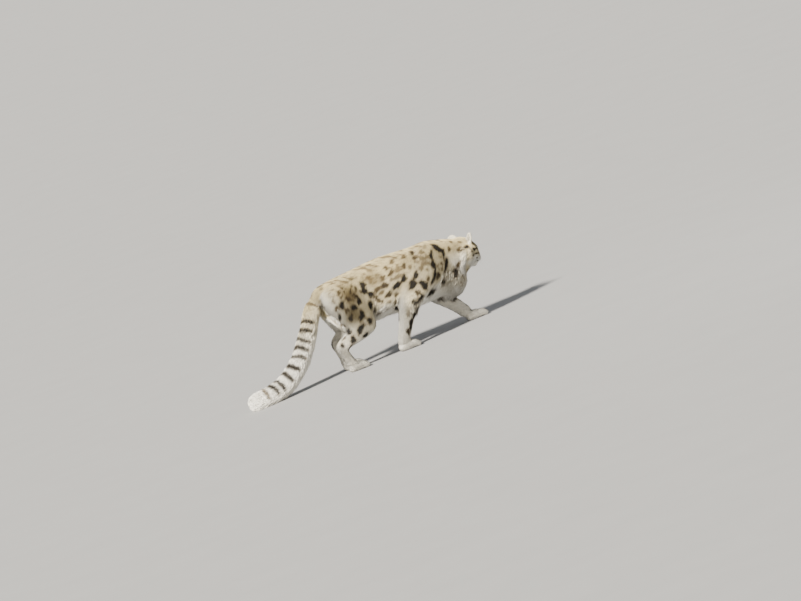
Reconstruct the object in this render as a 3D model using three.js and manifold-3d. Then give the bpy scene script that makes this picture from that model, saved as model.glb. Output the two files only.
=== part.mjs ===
// A snow leopard walking, life size, in millimetres: +X forward, +Y the animal's left, +Z up.
// The body is one smooth field of muscles and limbs. It is turned into faceted surfaces,
// fine at the head and paws and coarse elsewhere, and parted by thin cuts.
import * as THREE from "three";
import { mergeVertices } from "three/addons/utils/BufferGeometryUtils.js";
import { MeshoptSimplifier } from "three/addons/libs/meshopt_simplifier.module.js";
import Module from "manifold-3d";

const wasm = await Module();
wasm.setup();
await MeshoptSimplifier.ready;

const gap = 0.3; // air between two pieces that touch
const withersHeight = 526;
const bellyHeight = 220; // to the tips of the belly's coat
const bellyCoat = 20; // from the belly's core to those tips
const trunkHalfWidth = 122;
const tailRadius = 50; // to the tips of the tail's coat
const tailCoat = 11;
const thighInner = 57.7; // the flat inner side of a thigh and of a shoulder, off the middle
const pawHalfWidth = 41;
const eyeRadius = 14.5;
const eyeDepth = 0.74; // how far the middle of an eye lies below the skin, of its radius
const ear = { halfWidth: 31, height: 35, depth: 17, wall: 4.5, apart: 62 };
// The grid step of each surface, and how far its facets may then stray from it.
const facet = {
  trunk: [24, 2.2],
  leg: [15, 1.5],
  neck: [20, 1.6],
  tail: [18, 1.6],
  paw: [8, 0.9],
  head: [8, 0.9],
};
// Locks of long coat: length, width and thickness at their widest, and how far the tip stands off.
const locks = {
  belly: { length: 116, width: 66, thick: 15, lift: 15 },
  chest: { length: 104, width: 60, thick: 15, lift: 16 },
  ruff: { length: 78, width: 42, thick: 13, lift: 15 },
  tail: { length: 104, width: 50, thick: 14, lift: 8 },
};

const vec = (x, y, z) => new THREE.Vector3(x, y, z);
const mix = (a, b, t) => a + (b - a) * t;
const clamp = (x, low, high) => Math.min(high, Math.max(low, x));

// A station of a limb or of the trunk: its centre, its half size across the body and its half depth.
const station = (x, y, z, across, deep) => ({ at: vec(x, y, z), across, deep });

// Catmull-Rom interpolation of one number through four stations.
function through(a, b, c, d, t) {
  const t2 = t * t;
  const t3 = t2 * t;
  return 0.5 * (2 * b + (c - a) * t + (2 * a - 5 * b + 4 * c - d) * t2 + (3 * b - a - 3 * c + d) * t3);
}

// The stations with smooth ones added between them.
function smoothStations(list, steps = 4) {
  const out = [];
  const pick = (i) => list[clamp(i, 0, list.length - 1)];
  const value = (i, t, read) => through(...[i - 1, i, i + 1, i + 2].map((k) => read(pick(k))), t);
  for (let i = 0; i < list.length - 1; i++) {
    for (let k = 0; k < steps; k++) {
      const t = k / steps;
      const x = value(i, t, (s) => s.at.x);
      const y = value(i, t, (s) => s.at.y);
      const z = value(i, t, (s) => s.at.z);
      out.push(station(x, y, z, value(i, t, (s) => s.across), value(i, t, (s) => s.deep)));
    }
  }
  out.push(list[list.length - 1]);
  return out;
}

// A limb as a field: below 0 inside, roughly the distance in millimetres near its surface.
function limb(list, sideways = vec(0, 1, 0)) {
  const stations = smoothStations(list);
  const parts = [];
  for (let i = 0; i < stations.length - 1; i++) {
    const a = stations[i];
    const b = stations[i + 1];
    const along = b.at.clone().sub(a.at);
    const length = along.length();
    along.normalize();
    const side = sideways.clone().addScaledVector(along, -sideways.dot(along)).normalize();
    parts.push({ a, b, along, length, side, up: along.clone().cross(side) });
  }
  const q = vec(0, 0, 0);
  return (p) => {
    let best = Infinity;
    for (const s of parts) {
      q.subVectors(p, s.a.at);
      const t = clamp(q.dot(s.along) / s.length, 0, 1);
      const across = mix(s.a.across, s.b.across, t);
      const deep = mix(s.a.deep, s.b.deep, t);
      const over = q.dot(s.along) - t * s.length;
      const small = Math.min(across, deep);
      const r = Math.hypot(q.dot(s.side) / across, q.dot(s.up) / deep, over / small);
      best = Math.min(best, (r - 1) * small);
    }
    return best;
  };
}

// An ellipsoid as a field, in a frame of its own.
function lump(centre, radii, frame = new THREE.Quaternion()) {
  const back = frame.clone().invert();
  const small = Math.min(...radii);
  const q = vec(0, 0, 0);
  return (p) => {
    q.subVectors(p, centre).applyQuaternion(back);
    return (Math.hypot(q.x / radii[0], q.y / radii[1], q.z / radii[2]) - 1) * small;
  };
}

// Fields joined with a rounded hollow of the given size between them.
function blend(size, ...fields) {
  return (p) => {
    let d = fields[0](p);
    for (let i = 1; i < fields.length; i++) {
      const e = fields[i](p);
      const h = Math.max(size - Math.abs(d - e), 0) / size;
      d = Math.min(d, e) - h * h * size * 0.25;
    }
    return d;
  };
}

// True when the corners on one side of the surface don't hang together along the edges of their cell.
function apart(v, edges, inside) {
  const group = v.map((x, i) => (x < 0 === inside ? i : -1));
  for (let round = 0; round < 3; round++) {
    for (const [a, b] of edges) {
      if (group[a] < 0 || group[b] < 0) continue;
      group[a] = group[b] = Math.min(group[a], group[b]);
    }
  }
  return new Set(group.filter((g) => g >= 0)).size > 1;
}

// Two diagonal corners of one face of a cell are inside and the other two are not.
function checkered(v) {
  for (const [a, b] of [[1, 2], [1, 4], [2, 4]]) {
    for (const c of [0, 7 - a - b]) {
      const diagonal = v[c] < 0 === v[c + a + b] < 0 && v[c + a] < 0 === v[c + b] < 0;
      if (diagonal && v[c] < 0 !== v[c + a] < 0) return true;
    }
  }
  return false;
}

// Fills the corners where the surface would touch itself along an edge or at a point.
function fillPinches(values, n, corners, edges, step) {
  for (let changed = true; changed; ) {
    changed = false;
    for (let k = 0; k < n[2] - 1; k++) {
      for (let j = 0; j < n[1] - 1; j++) {
        for (let i = 0; i < n[0] - 1; i++) {
          const ids = corners(i, j, k);
          const v = ids.map((c) => values[c]);
          const inside = v.filter((x) => x < 0).length;
          if (inside < 2 || inside > 6) continue;
          if (!checkered(v) && !apart(v, edges, true) && !apart(v, edges, false)) continue;
          const lowest = v.reduce((best, x, c) => (x >= 0 && (best < 0 || x < v[best]) ? c : best), -1);
          values[ids[lowest]] = -0.03 * step;
          changed = true;
        }
      }
    }
  }
}

// The closed faceted surface of a field on a grid, one vertex to each cell that the surface crosses.
// Facets are then merged where the surface stays within the given distance.
function surface(field, grid, stray) {
  const n = grid.map((lines) => lines.length);
  const step = Math.min(...grid.map((lines) => lines[1] - lines[0]));
  const corner = (i, j, k) => (k * n[1] + j) * n[0] + i;
  const values = new Float32Array(n[0] * n[1] * n[2]);
  const p = vec(0, 0, 0);
  for (let k = 0; k < n[2]; k++) {
    for (let j = 0; j < n[1]; j++) {
      for (let i = 0; i < n[0]; i++) {
        const edge = [i, j, k].some((index, axis) => index === 0 || index === n[axis] - 1);
        values[corner(i, j, k)] = edge ? step : field(p.set(grid[0][i], grid[1][j], grid[2][k]));
      }
    }
  }
  const edges = [];
  for (let a = 0; a < 8; a++) {
    for (const bit of [1, 2, 4]) if (!(a & bit)) edges.push([a, a | bit]);
  }
  const eight = [0, 1, 2, 3, 4, 5, 6, 7];
  const corners = (i, j, k) => eight.map((c) => corner(i + (c & 1), j + ((c >> 1) & 1), k + (c >> 2)));
  fillPinches(values, n, corners, edges, step);
  const cell = new Int32Array(values.length).fill(-1);
  const points = [];
  for (let k = 0; k < n[2] - 1; k++) {
    for (let j = 0; j < n[1] - 1; j++) {
      for (let i = 0; i < n[0] - 1; i++) {
        const v = corners(i, j, k).map((c) => values[c]);
        const inside = v.filter((x) => x < 0).length;
        if (inside === 0 || inside === 8) continue;
        const sum = vec(0, 0, 0);
        let crossings = 0;
        for (const [a, b] of edges) {
          if (v[a] < 0 === v[b] < 0) continue;
          const t = v[a] / (v[a] - v[b]);
          sum.x += mix(a & 1, b & 1, t);
          sum.y += mix((a >> 1) & 1, (b >> 1) & 1, t);
          sum.z += mix(a >> 2, b >> 2, t);
          crossings++;
        }
        sum.divideScalar(crossings);
        sum.x = mix(grid[0][i], grid[0][i + 1], sum.x);
        sum.y = mix(grid[1][j], grid[1][j + 1], sum.y);
        sum.z = mix(grid[2][k], grid[2][k + 1], sum.z);
        cell[corner(i, j, k)] = points.length;
        points.push(settle(field, sum, step));
      }
    }
  }
  const faces = [];
  const quad = (a, b, c, d) => {
    if (points[a].distanceTo(points[c]) < points[b].distanceTo(points[d])) faces.push(a, b, c, a, c, d);
    else faces.push(b, c, d, b, d, a);
  };
  const edge = (here, next, around) => {
    if (values[here] < 0 === values[next] < 0) return;
    const ring = around.map((x) => cell[x]);
    if (values[next] < 0) ring.reverse();
    quad(...ring);
  };
  for (let k = 0; k < n[2] - 1; k++) {
    for (let j = 0; j < n[1] - 1; j++) {
      for (let i = 0; i < n[0] - 1; i++) {
        const at = (x, y, z) => corner(i + x, j + y, k + z);
        const here = at(0, 0, 0);
        if (j && k) edge(here, at(1, 0, 0), [at(0, -1, -1), at(0, 0, -1), here, at(0, -1, 0)]);
        if (i && k) edge(here, at(0, 1, 0), [at(-1, 0, -1), at(-1, 0, 0), here, at(0, 0, -1)]);
        if (i && j) edge(here, at(0, 0, 1), [at(-1, -1, 0), at(0, -1, 0), here, at(-1, 0, 0)]);
      }
    }
  }
  const places = new Float32Array(points.flatMap((q) => q.toArray()));
  return fewerFacets(places, new Uint32Array(faces), stray);
}

// A surface with its facets merged where it stays within the given distance.
function fewerFacets(places, faces, stray) {
  const [kept] = MeshoptSimplifier.simplify(faces, places, 3, 0, stray, ["ErrorAbsolute"]);
  const geometry = new THREE.BufferGeometry();
  geometry.setAttribute("position", new THREE.BufferAttribute(places, 3));
  geometry.setIndex(Array.from(kept));
  return geometry;
}

// The direction in which a field grows, and how fast.
function slope(field, p) {
  const h = 0.5;
  const here = field(p);
  const grown = [vec(p.x + h, p.y, p.z), vec(p.x, p.y + h, p.z), vec(p.x, p.y, p.z + h)].map(field);
  return vec(...grown).subScalar(here).divideScalar(h);
}

// A point near the surface of a field, moved on to it.
function settle(field, p, step) {
  for (let round = 0; round < 2; round++) {
    const d = field(p);
    if (Math.abs(d) > step) break;
    const g = slope(field, p);
    p.addScaledVector(g, -clamp(d / Math.max(g.lengthSq(), 0.2), -step * 0.4, step * 0.4));
  }
  return p;
}

// Where a ray from inside a field comes out of it.
function reach(field, from, direction) {
  const p = from.clone();
  for (let round = 0; round < 60; round++) {
    const d = field(p);
    if (d > -0.05) break;
    p.addScaledVector(direction, clamp(-d * 0.7, 0.2, 20));
  }
  return p;
}

// Grid lines from low to high, about a step apart.
function lines(low, high, step) {
  const count = Math.ceil((high - low) / step);
  return Array.from({ length: count + 1 }, (_, i) => mix(low, high, i / count));
}
const boxGrid = (low, high, step) => low.map((x, axis) => lines(x, high[axis], step));

// A geometry as a solid that can be cut and joined.
function solid(geometry) {
  const bare = geometry.clone();
  bare.deleteAttribute("normal");
  bare.deleteAttribute("uv");
  const merged = mergeVertices(bare, 1e-3);
  const vertProperties = merged.attributes.position.array;
  const triVerts = new Uint32Array(merged.index.array);
  return new wasm.Manifold(new wasm.Mesh({ numProp: 3, vertProperties, triVerts }));
}

// The largest closed piece of a solid, as a geometry.
function largest(shape) {
  const pieces = shape.decompose().sort((a, b) => b.volume() - a.volume());
  const mesh = pieces[0].getMesh();
  const points = [];
  for (let i = 0; i < mesh.numVert; i++) {
    points.push(...mesh.vertProperties.subarray(i * mesh.numProp, i * mesh.numProp + 3));
  }
  const geometry = new THREE.BufferGeometry();
  geometry.setAttribute("position", new THREE.Float32BufferAttribute(points, 3));
  geometry.setIndex(Array.from(mesh.triVerts));
  return geometry;
}

// Everything on the far side of a plane, moved off the plane by half a gap.
function beyond(point, normal) {
  const reach = 2400;
  const box = new THREE.BoxGeometry(reach, reach, reach);
  box.translate(0, 0, reach / 2 + gap / 2);
  box.applyQuaternion(new THREE.Quaternion().setFromUnitVectors(vec(0, 0, 1), normal.clone().normalize()));
  box.translate(point.x, point.y, point.z);
  return solid(box);
}

// A straight-sided block with round ends seen from the side, from one joint to the next.
function stadium(from, to, radius, inner, outer) {
  const tilt = Math.atan2(to.z - from.z, to.x - from.x);
  const shape = new THREE.Shape();
  shape.absarc(to.x, to.z, radius, tilt - Math.PI / 2, tilt + Math.PI / 2, false);
  shape.absarc(from.x, from.z, radius, tilt + Math.PI / 2, tilt + (3 * Math.PI) / 2, false);
  const size = { depth: outer - inner, bevelEnabled: false, curveSegments: 7 };
  const block = new THREE.ExtrudeGeometry(shape, size);
  block.rotateX(Math.PI / 2);
  block.translate(0, outer, 0);
  return block;
}

// The body's fields. A barrel station has its top above the withers and its core under the belly's coat.
const topOf = (drop, deep) => withersHeight - drop - deep;
function barrel(x, rise, hang, wider) {
  const top = withersHeight + rise;
  const bottom = bellyHeight + bellyCoat - hang;
  return station(x, 0, (top + bottom) / 2, trunkHalfWidth + wider, (top - bottom) / 2);
}
const trunk = limb([
  station(-30, 0, 462, 62, 52),
  station(30, 0, topOf(0, 108), 104, 108),
  station(120, 0, topOf(-8, 132), 114, 132),
  barrel(240, 14, 0, -4),
  barrel(370, 22, 2, 2),
  barrel(490, 14, 16, 1),
  barrel(590, 6, 20, -4),
  station(680, 2, topOf(6, 152), 102, 152),
  station(745, 8, 312, 86, 128),
  station(786, 14, 264, 60, 84),
]);
const skull = vec(929, 76, 383);
const neck = limb([
  station(650, 0, 408, 100, 116),
  station(735, 12, 388, 92, 124),
  station(805, 32, 372, 85, 128),
  station(862, 52, 374, 80, 110),
  station(902, 68, 384, 78, 92),
]);
const tailPath = [
  [-8, 0, 474, -2],
  [-66, 0, 446, -6],
  [-118, 0, 385, -5],
  [-166, -2, 312, -2],
  [-216, -6, 240, 0],
  [-280, -14, 168, 2],
  [-362, -26, 106, 2],
  [-456, -38, 62, 3],
  [-552, -48, 45, 3],
  [-638, -54, 43, -1],
].map(([x, y, z, wider]) => station(x, y, z, tailRadius - tailCoat + wider, tailRadius - tailCoat + wider));
const tail = limb(tailPath);

// A leg's points are given as x and z. Side is 1 for the left and -1 for the right.
const between = (a, b, t) => [mix(a[0], b[0], t), mix(a[1], b[1], t)];
const onLeg = (side) => (point, y, across, deep, dx = 0, dz = 0) =>
  station(point[0] + dx, side * y, point[1] + dz, across, deep);

function hindLeg(side, hip, knee, hock, foot) {
  const at = onLeg(side);
  const thigh = limb([
    at(hip, 66, 60, 104),
    at(between(hip, knee, 0.36), 82, 62, 112, -14),
    at(between(hip, knee, 0.7), 94, 55, 92, -12),
    at(knee, 100, 42, 50, -8, 6),
  ]);
  const shin = limb([
    at(knee, 100, 42, 50, -8, 2),
    at(between(knee, hock, 0.35), 97, 38, 50, 0, 4),
    at(between(knee, hock, 0.7), 92, 31, 37, 0, 2),
    at(hock, 88, 26, 29),
    at(between(hock, foot, 0.45), 87, 25, 27),
    at(foot, 86, 30, 29),
  ]);
  const blocks = [
    [hip, knee, 112, thighInner],
    [knee, hock, 66, 48],
    [hock, foot, 60, 48],
  ];
  return { field: blend(26, thigh, shin), lower: shin, blocks, side, joints: [hip, knee, hock, foot] };
}

function foreLeg(side, blade, shoulder, elbow, wrist) {
  const at = onLeg(side);
  const upper = limb([
    at(blade, 46, 26, 52),
    at(between(blade, shoulder, 0.5), 70, 38, 76),
    at(shoulder, 88, 44, 66),
  ]);
  const arm = limb([
    at(shoulder, 88, 44, 64),
    at(between(shoulder, elbow, 0.5), 95, 44, 64),
    at(elbow, 95, 41, 52),
    at(between(elbow, wrist, 0.3), 92, 38, 47),
    at(between(elbow, wrist, 0.68), 85, 33, 38),
    at(wrist, 80, 32, 34),
  ]);
  const blocks = [
    [blade, shoulder, 84, 52],
    [shoulder, elbow, 74, 52],
    [elbow, wrist, 66, 44],
  ];
  return { field: blend(26, upper, arm), lower: arm, blocks, side, joints: [blade, shoulder, elbow, wrist] };
}

// A paw flat on the ground: the pad, four toes and the ankle or wrist above them.
function paw(side, centre, x, ankle, toeReach) {
  const y = side * centre;
  const toes = [-1.5, -0.5, 0.5, 1.5].map((k) => {
    const reachX = x + toeReach - Math.abs(k) * 7;
    const spread = y + k * 20;
    return limb([
      station(x + 36, y + k * 14, 25, 14, 20),
      station(reachX - 26, spread, 25, 12, 21),
      station(reachX - 3, spread + k * 1.5, 14, 11.5, 15),
    ]);
  });
  const pad = limb([station(x - 8, y, 24, pawHalfWidth - 9, 28), station(x + 32, y, 22, pawHalfWidth - 2, 25)]);
  const joint = limb([station(ankle[0], y, ankle[1], 31, 31), station(x + 14, y, 36, 34, 30)]);
  return { field: blend(5, blend(14, pad, joint), ...toes), x, y };
}

const legs = {
  hind_right: hindLeg(-1, [48, 412], [150, 222], [-50, 154], [-20, 50]),
  hind_left: hindLeg(1, [52, 414], [172, 240], [-4, 168], [22, 50]),
  fore_right: foreLeg(-1, [668, 470], [588, 348], [432, 258], [330, 62]),
  fore_left: foreLeg(1, [655, 480], [772, 335], [680, 226], [812, 62]),
};
const paws = {
  hind_right: paw(-1, 86, -14, legs.hind_right.joints[3], 88),
  hind_left: paw(1, 86, 28, legs.hind_left.joints[3], 88),
  fore_right: paw(-1, 78, 322, legs.fore_right.joints[3], 96),
  fore_left: paw(1, 78, 838, legs.fore_left.joints[3], 96),
};

// The head, in a frame of its own: x forward along the muzzle, y to its left, z up.
const degrees = THREE.MathUtils.degToRad;
const headAngles = new THREE.Euler(degrees(5), degrees(27), degrees(28), "ZYX");
const headTurn = new THREE.Quaternion().setFromEuler(headAngles);
const onHead = (x, y, z) => vec(x, y, z).applyQuaternion(headTurn).add(skull);
const headLimb = (...rows) => limb(rows.map(([x, y, z, across, deep]) => station(x, y, z, across, deep)));
const headLump = (x, y, z, ...radii) => lump(vec(x, y, z), radii);
const pair = (make) => [make(1), make(-1)];

const cranium = blend(
  24,
  headLump(-16, 0, 8, 84, 75, 68),
  headLump(30, 0, 26, 46, 50, 35),
  ...pair((s) => headLump(-6, s * 50, -22, 58, 43, 50)),
  ...pair((s) => headLump(40, s * 45, -18, 36, 28, 27)),
);
const muzzle = blend(
  12,
  headLimb([36, 0, 26, 29, 24], [72, 0, 16, 26, 20], [96, 0, 4, 22, 17]),
  headLump(72, 0, -22, 42, 42, 32),
  ...pair((s) => headLump(88, s * 21, -22, 27, 24, 25)),
  headLimb([14, 0, -52, 44, 27], [56, 0, -57, 34, 22], [87, 0, -56, 23, 18]),
);
const brows = pair((s) => headLump(46, s * 33, 33, 21, 18, 11));
const face = blend(16, cranium, muzzle, ...brows);

// A field of the body seen from the head's frame, and one of the head seen from the body's.
const headBack = headTurn.clone().invert();
const toBody = (field) => (p) => field(p.clone().applyQuaternion(headTurn).add(skull));
const toHead = (field) => (p) => field(p.clone().sub(skull).applyQuaternion(headBack));

const body = blend(34, trunk, neck, toHead(cranium), tail, ...Object.values(legs).map((leg) => leg.field));
const head = blend(28, face, toBody(neck));

// Random numbers that are the same each time.
THREE.MathUtils.seededRandom(11);
const vary = (size, share) => size * (1 + share * (2 * THREE.MathUtils.seededRandom() - 1));

// A point moved along a field's slope to the given height above its surface, and the way out there.
function raise(field, point, height) {
  const out = slope(field, point);
  point.addScaledVector(out, (height - field(point)) / Math.max(out.lengthSq(), 0.2));
  return out.normalize();
}

// One flat lock. Its root is sunk in the core, its middle follows the core and its tip stands off it.
const lockRings = [[0.66, 0.9], [1, 1], [0.76, 0.7]];
function lock(field, root, lie, kind) {
  const length = vary(kind.length, 0.16);
  const width = vary(kind.width, 0.14);
  const lift = vary(kind.lift, 0.35);
  const sway = vary(0.16, 1) - 0.16;
  const at = root.clone();
  const along = lie.clone().normalize();
  const points = [];
  for (let i = 0; i <= lockRings.length; i++) {
    const t = i / lockRings.length;
    const out = raise(field, at, mix(-0.55 * kind.thick, lift, t ** 0.8));
    along.addScaledVector(out, -along.dot(out)).normalize();
    const side = out.clone().cross(along);
    if (i === 0) points.push(at.clone().addScaledVector(out, -0.6 * kind.thick));
    if (i < lockRings.length) {
      const [wide, deep] = lockRings[i];
      const a = (wide * width) / 2;
      const b = (deep * kind.thick) / 2;
      for (const [x, y] of [[a, 0], [0, b], [-a, 0], [0, -b]]) {
        points.push(at.clone().addScaledVector(side, x).addScaledVector(out, y));
      }
    } else points.push(at.clone());
    along.addScaledVector(side, sway / lockRings.length);
    at.addScaledVector(along, length / lockRings.length);
  }
  const faces = [];
  const last = points.length - 1;
  for (let k = 0; k < 4; k++) {
    const next = (k + 1) % 4;
    faces.push(0, 1 + next, 1 + k);
    for (let i = 0; i < lockRings.length - 1; i++) {
      const a = 1 + 4 * i;
      faces.push(a + k, a + 4 + next, a + 4 + k, a + k, a + next, a + 4 + next);
    }
    faces.push(last - 4 + k, last - 4 + next, last);
  }
  const geometry = new THREE.BufferGeometry();
  geometry.setAttribute("position", new THREE.Float32BufferAttribute(points.flatMap((q) => q.toArray()), 3));
  geometry.setIndex(faces);
  return solid(geometry);
}

// The locks of the belly hang back, in rows across it that are staggered.
function bellyLocks() {
  const made = [];
  for (let row = 0; row < 7; row++) {
    const x = 236 + row * 70;
    const shift = row % 2 ? 0.25 : -0.25;
    for (let k = 0; k < 4; k++) {
      const turn = degrees(46 * (k + shift - 1.5));
      const root = reach(body, vec(vary(x, 0.02), 0, 340), vec(0, Math.sin(turn), -Math.cos(turn)));
      const lie = vec(-1, 0.1 * Math.sin(turn), -0.5 * Math.abs(Math.sin(turn)));
      made.push(lock(body, root, lie, locks.belly));
    }
  }
  return made;
}

// Rows of locks down the chest, from the throat to between the forelegs.
function chestLocks() {
  const made = [];
  for (let row = 0; row < 4; row++) {
    const t = row / 3;
    const from = vec(mix(830, 700, t), mix(42, 6, t), mix(372, 300, t));
    const ahead = vec(mix(0.25, 0.75, t), mix(0.1, 0, t), -1);
    for (let k = -1; k <= 1; k++) {
      const across = vary(0.62, 0.15) * (k + (row % 2 ? 0.25 : -0.25));
      const root = reach(body, from, ahead.clone().add(vec(-0.1 * across, across, 0)).normalize());
      made.push(lock(body, root, vec(-0.55, 0, -0.85), locks.chest));
    }
  }
  return made;
}

// The ruff of both cheeks, laid back and down from behind the eyes to the throat.
function ruffLocks() {
  const made = [];
  for (const s of [1, -1]) {
    for (let row = 0; row < 2; row++) {
      for (let k = 0; k < 5; k++) {
        const turn = degrees(vary(34, 0.08) * (k + row * 0.5) - 18);
        const from = onHead(-6 - row * 34, 0, -8);
        const out = vec(-0.12, s * Math.cos(turn), -Math.sin(turn)).applyQuaternion(headTurn);
        const lie = vec(-0.8, s * 0.1, -0.45).applyQuaternion(headTurn);
        made.push(lock(body, reach(body, from, out.normalize()), lie, locks.ruff));
      }
    }
  }
  return made;
}

// The locks of the tail, in rings that are staggered, laid towards its end.
function tailLocks() {
  const made = [];
  const path = new THREE.CatmullRomCurve3(tailPath.map((s) => s.at));
  const rings = 13;
  const around = 5;
  for (let i = 1; i < rings; i++) {
    const from = path.getPointAt(i / rings);
    const along = path.getTangentAt(i / rings);
    const up = along.clone().cross(vec(0, 1, 0)).normalize();
    const side = up.clone().cross(along);
    for (let k = 0; k < around; k++) {
      const turn = ((k + (i % 2) / 2 + vary(0.12, 1) - 0.12) / around) * 2 * Math.PI;
      const out = up.clone().multiplyScalar(Math.cos(turn)).addScaledVector(side, Math.sin(turn));
      made.push(lock(tail, reach(tail, from, out), along, locks.tail));
    }
  }
  return made;
}

const meshes = [];
function addNode(name, shape, finish) {
  const skin = largest(solid(largest(shape))); // twice, as shells that touch at a point part only then
  const mesh = new THREE.Mesh(skin, new THREE.MeshStandardMaterial(finish));
  mesh.name = name;
  meshes.push(mesh);
}
const coat = { color: 0xc7b899, roughness: 0.85, metalness: 0 };
const paleCoat = { color: 0xdbd4c2, roughness: 0.85, metalness: 0 };
const glassy = { color: 0x9aa583, roughness: 0.1, metalness: 0 };

// Where the nodes part.
const cutAt = (at, out) => ({ at, out });
const neckCut = cutAt(vec(742, 0, 420), vec(0.8, 0.04, 0.6));
const headCut = cutAt(vec(-66, 0, -6), vec(1, 0, 0.08));
const headCutOnBody = cutAt(onHead(-66, 0, -6), headCut.out.clone().applyQuaternion(headTurn));
const ankleCut = cutAt(vec(0, 0, 53), vec(0, 0, 1));
const tailCuts = [
  cutAt(vec(-72, 0, 440), vec(-0.72, 0, -0.69)),
  cutAt(vec(-232, -6, 222), vec(-0.62, -0.1, -0.78)),
  cutAt(vec(-458, -38, 64), vec(-0.95, -0.12, -0.26)),
];
const ahead = (cut) => beyond(cut.at, cut.out);
const behind = (cut) => beyond(cut.at, cut.out.clone().negate());
const aboveFloor = beyond(vec(0, 0, -gap / 2), vec(0, 0, 1));

// The block that holds a leg, larger by a gap where it cuts the trunk.
function legBlock(leg, grow) {
  const shapes = leg.blocks.map(([a, b, radius, inner]) => {
    const span = leg.side > 0 ? [inner - grow, 260] : [-260, grow - inner];
    return solid(stadium({ x: a[0], z: a[1] }, { x: b[0], z: b[1] }, radius + grow, ...span));
  });
  return wasm.Manifold.union(shapes);
}

// The room that the tail takes, inboard of the thighs.
const tailInner = thighInner - gap;
const tailBlock = (from, to) => solid(stadium(from, to, tailRadius + 14, -tailInner, tailInner));
const tailRoom = wasm.Manifold.union(tailPath.slice(1).map((s, i) => tailBlock(tailPath[i].at, s.at)));

// A core with its locks, without the slivers where they cross.
function withLocks(core, coat, stray = 0.7) {
  const mesh = core.add(coat).getMesh();
  return solid(fewerFacets(mesh.vertProperties, mesh.triVerts, stray));
}

const coatLocks = wasm.Manifold.union([...bellyLocks(), ...chestLocks(), ...ruffLocks()]);

function addTorso() {
  const [step, stray] = facet.trunk;
  const whole = solid(surface(body, boxGrid([-130, -190, -30], [930, 190, 600], step), stray));
  let torso = withLocks(whole, coatLocks).intersect(behind(neckCut));
  torso = torso.subtract(tailRoom.subtract(behind(tailCuts[0])));
  for (const leg of Object.values(legs)) torso = torso.subtract(legBlock(leg, gap));
  addNode("torso", torso, coat);
}

function addLeg(name, leg) {
  const xs = leg.joints.map((point) => point[0]);
  const ys = leg.side > 0 ? [20, 190] : [-190, -20];
  const [step, stray] = facet.leg;
  const grid = boxGrid([Math.min(...xs) - 150, ys[0], 20], [Math.max(...xs) + 150, ys[1], 600], step);
  const shape = solid(surface(body, grid, stray)).intersect(legBlock(leg, 0)).intersect(ahead(ankleCut));
  addNode(`leg_${name}`, shape.intersect(behind(neckCut)), coat);
}

function addPaw(name, foot, leg) {
  const [step, stray] = facet.paw;
  const grid = boxGrid([foot.x - 60, foot.y - 70, -20], [foot.x + 130, foot.y + 70, 80], step);
  const shell = solid(surface(blend(12, foot.field, leg.lower), grid, stray));
  addNode(`paw_${name}`, shell.intersect(aboveFloor).intersect(behind(ankleCut)), paleCoat);
}

function addNeck() {
  const [step, stray] = facet.neck;
  const shell = solid(surface(body, boxGrid([610, -150, 160], [1000, 230, 560], step), stray));
  const coated = withLocks(shell, coatLocks);
  addNode("neck", coated.intersect(ahead(neckCut)).intersect(behind(headCutOnBody)), coat);
}

// The tail in three lengths, parted square to its line.
function addTail() {
  const [step, stray] = facet.tail;
  const core = solid(surface(tail, boxGrid([-740, -130, -20], [60, 90, 560], step), stray));
  const whole = withLocks(core, wasm.Manifold.union(tailLocks()), 0.2).intersect(aboveFloor);
  ["tail_root", "tail_middle", "tail_end"].forEach((name, i) => {
    let length = whole.intersect(ahead(tailCuts[i]));
    if (tailCuts[i + 1]) length = length.intersect(behind(tailCuts[i + 1]));
    if (i === 0) length = length.intersect(tailRoom);
    addNode(name, length, i < 2 ? coat : paleCoat);
  });
}

// A ball stretched to the given radii, turned and placed.
function ball(centre, radii, turn = new THREE.Quaternion(), around = 14) {
  const shape = new THREE.SphereGeometry(1, around, Math.round(around * 0.6));
  shape.scale(...radii);
  shape.applyQuaternion(turn);
  shape.translate(...centre);
  return shape;
}

// A round cord through points, for a groove or a lip.
function cord(points, radius) {
  const section = new THREE.Shape();
  section.absarc(0, 0, radius, 0, 2 * Math.PI, false);
  const path = new THREE.CatmullRomCurve3(points);
  const size = { steps: points.length * 2, extrudePath: path, curveSegments: 3 };
  return solid(new THREE.ExtrudeGeometry(section, size));
}

// The turn that carries x on to one direction and z near another.
function turnTo(forward, up) {
  const x = forward.clone().normalize();
  const y = up.clone().cross(x).normalize();
  const axes = new THREE.Matrix4().makeBasis(x, y, x.clone().cross(y));
  return new THREE.Quaternion().setFromRotationMatrix(axes);
}

// The cup of an ear in the head's frame, hollow towards the front and the side.
function earCup(s) {
  const facing = vec(0.8, s * 0.56, 0.1);
  const turn = turnTo(facing, vec(-0.2, s * 0.42, 0.9));
  const root = vec(-26, s * ear.apart, 54);
  const centre = vec(0, 0, 12).applyQuaternion(turn).add(root);
  const hollowAt = vec(ear.depth * 0.72, 0, 1).applyQuaternion(turn).add(centre);
  const outside = solid(ball(centre, [ear.depth, ear.halfWidth, ear.height], turn, 14));
  const inner = [ear.depth, ear.halfWidth - ear.wall, ear.height - ear.wall];
  return outside.subtract(solid(ball(hollowAt, inner, turn, 12)));
}

// An eye looks forward and a little out, and sits with most of its ball in the head.
function eyeOf(s) {
  const gaze = vec(0.84, s * 0.53, 0.06).normalize();
  const skinAt = reach(face, vec(36, s * 25, 14), gaze);
  return { gaze, centre: skinAt.addScaledVector(gaze, -eyeRadius * eyeDepth) };
}

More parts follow.
